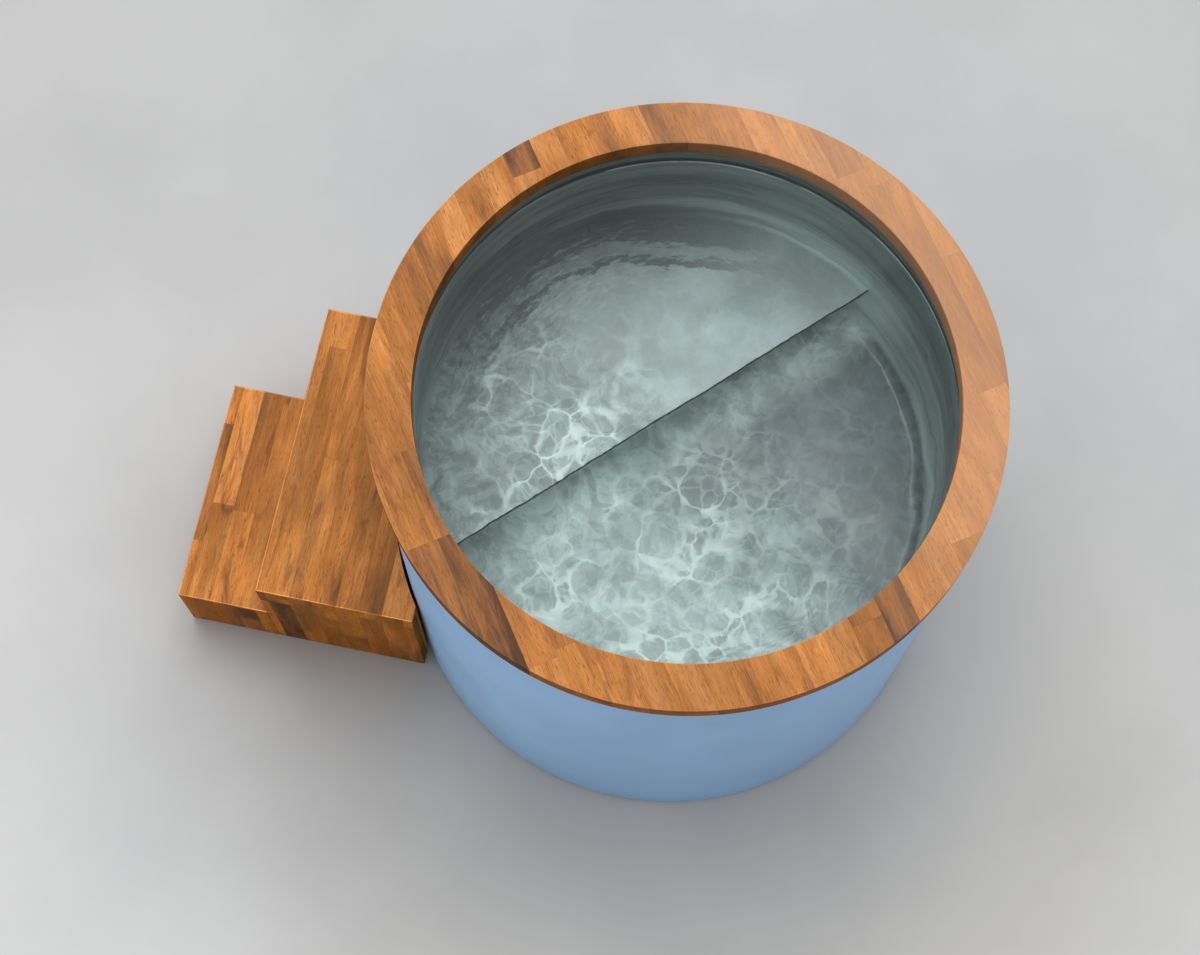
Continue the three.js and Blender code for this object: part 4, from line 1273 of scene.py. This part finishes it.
# Rubber pads under the tub and feet under the steps, one turned shape set at each place
feet = {
    "around": 48,
    "ease": 0.0022,
    "pads": ["centre_pad", "base_pad_1", "base_pad_2", "base_pad_3", "base_pad_4"],
    "stepFeet": ["step_foot_1", "step_foot_2", "step_foot_3", "step_foot_4", "step_foot_5"],
}


def makeFeetTree():
    sizes = {"Around": ("Int", 48), "Places": ("Object", None), "Material": ("Material", None)}
    tree, given = newTree("feetSet", sizes)
    grid, point, angle = sweepProfile(tree, given)
    foot = bendRound(tree, grid, point, angle)
    marks = addNode(tree, "GeometryNodeObjectInfo", {"Object": given["Places"]}).outputs["Geometry"]
    points = addNode(tree, "GeometryNodeMeshToPoints", {"Mesh": marks}).outputs[0]
    inputs = {"Points": points, "Instance": foot}
    placed = addNode(tree, "GeometryNodeInstanceOnPoints", inputs).outputs[0]
    return closeTree(tree, placed, given["Material"])


def makeFeet(name, replaced, body, tree):
    boxes = [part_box(node) for node in replaced]
    low, high = boxes[0]
    radius = (high.y - low.y) / 2
    ease = feet["ease"]
    outline = (
        [(0, low.z)]
        + roundCorner((radius - ease, low.z + ease), ease, 270, 360)
        + roundCorner((radius - ease, high.z - ease), ease, 0, 90)
        + [(0, high.z)]
    )
    marks = bpy.data.meshes.new(name + "Marks")
    marks.from_pydata([((a.x + b.x) / 2, (a.y + b.y) / 2, 0) for a, b in boxes], [], [])
    helper = newPiece(name + "Marks", marks)
    piece = turnedPiece(name, outline, rubber, tree, Around=feet["around"], Places=helper)
    bpy.data.objects.remove(helper)
    bpy.data.meshes.remove(marks)
    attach(piece, body)
    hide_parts(*replaced)


feetTree = makeFeetTree()
makeFeet("basePads", feet["pads"], "tub", feetTree)
makeFeet("stepFeet", feet["stepFeet"], "steps", feetTree)
print("pads and feet made")

# Fittings behind the tub. Profiles are (radius, distance from the tub's axis).
fitting = {
    "drainBearing": 134.5,
    "portBearings": {"suction": 124.5, "return": 114.5},
    "pipe": (0.026, 0.030),
    "grommet": (0.0304, 0.042),
    "nut": 0.028,
    "cap": 0.0204,
    "capRibs": 28,
    "capRibDepth": 0.0007,
    "valveMiddle": 0.6596,
    "barbs": 4,
    "barbRoot": 0.0142,
    "barbPeak": 0.0170,
    "tailBore": 0.012,
    "around": 96,
}


def leaving(bearing, height):
    # takes a piece turned on Z to an axis that leaves the tub at this bearing
    turn = Matrix.Rotation(math.radians(bearing), 4, "Z") @ Matrix.Rotation(math.radians(90), 4, "Y")
    return Matrix.Translation((0, 0, height)) @ turn


def reach(node, bearing):
    # nearest and farthest distance of a node from the tub's axis, along a bearing
    way = Vector((math.cos(math.radians(bearing)), math.sin(math.radians(bearing)), 0))
    spots = [(nodes[node].matrix_world @ v.co).dot(way) for v in nodes[node].data.vertices]
    return min(spots), max(spots)


def height(node):
    low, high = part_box(node)
    return (low.z + high.z) / 2


def finishFitting(piece, body, slotName, *replaced):
    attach(piece, body)
    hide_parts(*replaced)


def joinMesh(piece, other):
    bm = bmesh.new()
    bm.from_mesh(piece.data)
    bm.from_mesh(other.data)
    bm.to_mesh(piece.data)
    bm.free()
    bpy.data.objects.remove(other)
    return smooth(piece)


def makePorts():
    for port, bearing in fitting["portBearings"].items():
        place = leaving(bearing, height(port + "_cap"))
        near, far = reach(port + "_nut", bearing)
        nut = fitting["nut"]
        outline = roundedRing(0.0162, nut, near, far, 0.0012)
        sizes = {"Flats": 6, "Shaped_Past": 0.0255, "Around": fitting["around"]}
        piece = turnedPiece(port + "Nut", outline, plastic, place=place, **sizes)
        finishFitting(piece, "tub", "plastic", port + "_nut")

        near, far = reach(port + "_cap", bearing)
        radius, ease = fitting["cap"], 0.0022
        outline = (
            [(0, far - 0.004), (0.0165, far - 0.004), (0.0165, near), (radius - 0.0012, near), (radius - 0.0004, near + 0.001)]
            + [(radius, near + 0.003), (radius, far - ease - 0.004)]
            + [(radius - 0.0012, far - ease - 0.0025)]
            + roundCorner((radius - 0.0012 - ease, far - ease), ease, 0, 90)
            + [(0.010, far), (0.0092, far - 0.0008), (0, far - 0.0008)]
        )
        outline.reverse()
        sizes = {
            "Ribs": fitting["capRibs"],
            "Rib_Depth": fitting["capRibDepth"],
            "Shaped_Past": radius - 0.0002,
            "Around": fitting["capRibs"] * 8,
        }
        piece = turnedPiece(port + "Cap", outline + outline[:0], plastic, place=place, **sizes)
        finishFitting(piece, port + "_cap", "plastic", port + "_cap")


def makeDrainLine():
    bearing = fitting["drainBearing"]
    level = height("waste_pipe")
    place = leaving(bearing, level)
    near, far = reach("waste_pipe", bearing)
    inner, outer = fitting["pipe"]
    piece = turnedPiece("wastePipe", roundedRing(inner, outer, near, far, 0.0006), plastic, place=place, Around=64)
    finishFitting(piece, "tub", "plastic", "waste_pipe")

    near, far = reach("waste_grommet", bearing)
    inner, outer = fitting["grommet"]
    piece = turnedPiece("wasteGrommet", roundedRing(inner, outer, near, far, 0.002), rubber, place=place, Around=96)
    finishFitting(piece, "tub", "rubber", "waste_grommet")

    near, far = reach("valve_body", bearing)
    barrel = (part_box("valve_body")[0].z - level) * -1
    middle = fitting["valveMiddle"]
    hexNear, hexFar = near + 0.020, far - 0.016
    outline = (
        [(0.0303, near), (barrel - 0.0025, near), (barrel, near + 0.0016), (barrel, hexNear - 0.0016)]
        + [(barrel - 0.0022, hexNear), (barrel - 0.0062, hexNear + 0.001)]
        + [(barrel - 0.0066, hexNear + 0.004), (barrel - 0.0034, middle - 0.020)]
        + [(barrel - 0.0014, middle - 0.011), (barrel - 0.0010, middle), (barrel - 0.0014, middle + 0.011)]
        + [(barrel - 0.0034, middle + 0.020), (barrel - 0.0066, hexFar - 0.003)]
        + [(barrel - 0.0064, hexFar), (barrel - 0.0032, hexFar + 0.001), (barrel - 0.002, hexFar + 0.0026)]
        + [(barrel - 0.002, far - 0.0016), (barrel - 0.0042, far), (0.0152, far), (0.0152, far - 0.012)]
        + [(0.0303, near + 0.024), (0.0303, near)]
    )
    sizes = {"Flats": 8, "Shaped_Past": barrel - 0.0005, "Around": fitting["around"]}
    body = turnedPiece("valveBody", outline, brass, place=place, **sizes)
    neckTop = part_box("valve_body")[1].z
    neck = [(0, level), (0.0152, level), (0.0152, neckTop - 0.012), (0.014, neckTop - 0.0105), (0.014, neckTop - 0.001)]
    neck += [(0.013, neckTop), (0, neckTop)]
    spot = Matrix.Rotation(math.radians(bearing), 4, "Z") @ Matrix.Translation((middle, 0, 0))
    joinMesh(body, turnedPiece("valveNeck", neck, brass, place=spot, Around=64))
    finishFitting(body, "tub", "brass", "valve_body")

    near, far = reach("hose_tail", bearing)
    collar = far - 0.036
    bore, root, peak = fitting["tailBore"], fitting["barbRoot"], fitting["barbPeak"]
    outline = [(bore, near), (0.0150, near), (0.0150, collar - 0.009), (0.0255, collar - 0.009), (0.027, collar - 0.008)]
    outline += [(0.027, collar - 0.001), (0.0255, collar), (root, collar), (root, collar + 0.003)]
    pitch = (far - collar - 0.006) / fitting["barbs"]
    for i in range(fitting["barbs"]):
        start = collar + 0.004 + pitch * i
        outline += [(peak - 0.0003, start), (peak, start + 0.0008), (root, start + pitch - 0.0008)]
    outline += [(root - 0.0006, far), (bore, far), (bore, near)]
    sizes = {"Flats": 6, "Shaped_Past": 0.025, "Around": fitting["around"]}
    piece = turnedPiece("hoseTail", outline, brass, place=place, **sizes)
    finishFitting(piece, "tub", "brass", "hose_tail")


lever = {
    "hub": 0.014,
    "hubHeight": 0.009,
    "arm": 0.100,
    "root": 0.0075,
    "tip": 0.0080,
    "thick": 0.006,
    "ease": 0.0014,
}


def makeLever():
    # flat handle with a round hub and a rounded end, along the tub's own -Y
    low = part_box("valve_lever")[0].z
    outline = []
    opening = math.asin(lever["root"] / lever["hub"])
    for i in range(33):
        a = -math.pi / 2 + opening + (2 * math.pi - 2 * opening) * i / 32
        outline.append((lever["hub"] * math.cos(a), lever["hub"] * math.sin(a)))
    end = lever["arm"] - lever["tip"]
    for i in range(17):
        a = math.pi + math.pi * i / 16
        outline.append((lever["tip"] * math.cos(a), -end + lever["tip"] * math.sin(a)))
    bm = bmesh.new()
    face = bm.faces.new([bm.verts.new((x, y, low)) for x, y in outline])
    raised = bmesh.ops.extrude_face_region(bm, geom=[face])
    lifted = [v for v in raised["geom"] if isinstance(v, bmesh.types.BMVert)]
    bmesh.ops.translate(bm, vec=(0, 0, lever["thick"]), verts=lifted)
    mesh = bpy.data.meshes.new("valveLever")
    bm.to_mesh(mesh)
    bm.free()
    spot = Matrix.Rotation(math.radians(fitting["drainBearing"]), 4, "Z")
    spot = spot @ Matrix.Translation((fitting["valveMiddle"], 0, 0))
    piece = faceOut(newPiece("valveLever", mesh))
    bevelPiece(piece, lever["ease"])
    piece.data.transform(spot)
    wear(piece, bluePaint)
    smooth(piece)
    boss = roundedRing(0.0045, lever["hub"] - 0.0015, low + 0.003, low + lever["hubHeight"], 0.0012)
    joinMesh(piece, turnedPiece("leverBoss", boss, bluePaint, place=spot, Around=64))
    finishFitting(piece, "valve", "blue_paint", "valve_lever")


makePorts()
makeDrainLine()
makeLever()
print("fittings made")


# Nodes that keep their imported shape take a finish
def dress(material, names):
    for name in names:
        mesh = nodes[name].data
        mesh.materials.clear()
        mesh.materials.append(material)


frameLay = {**treadLay, "accents": [], "plain": True, "grain": (0, 0, 1), "across": (0, 1, 0), "tint": (0.80, 0.77, 0.72)}
frameWood = woodMaterial("frameWood", frameLay)
dress(frameWood, ["middle_rib", "upper_near_cleat", "upper_far_cleat", "lower_near_cleat", "lower_far_cleat"])
dress(tankFinish, ["bench_front", "bench_rib_1", "bench_rib_2", "bench_ledger"])
dress(foam, ["wall_insulation", "floor_insulation"])
dress(baseBoard, ["base_plate"])
dress(rubber, ["rim_seal", "drain_gasket", "suction_gasket", "return_gasket"])
dress(plastic, ["drain_nut", "drain_elbow", "suction_body", "return_body"])
dress(steel, ["drain_body", "drain_grate", "valve_ball"])
print("packed pieces dressed")
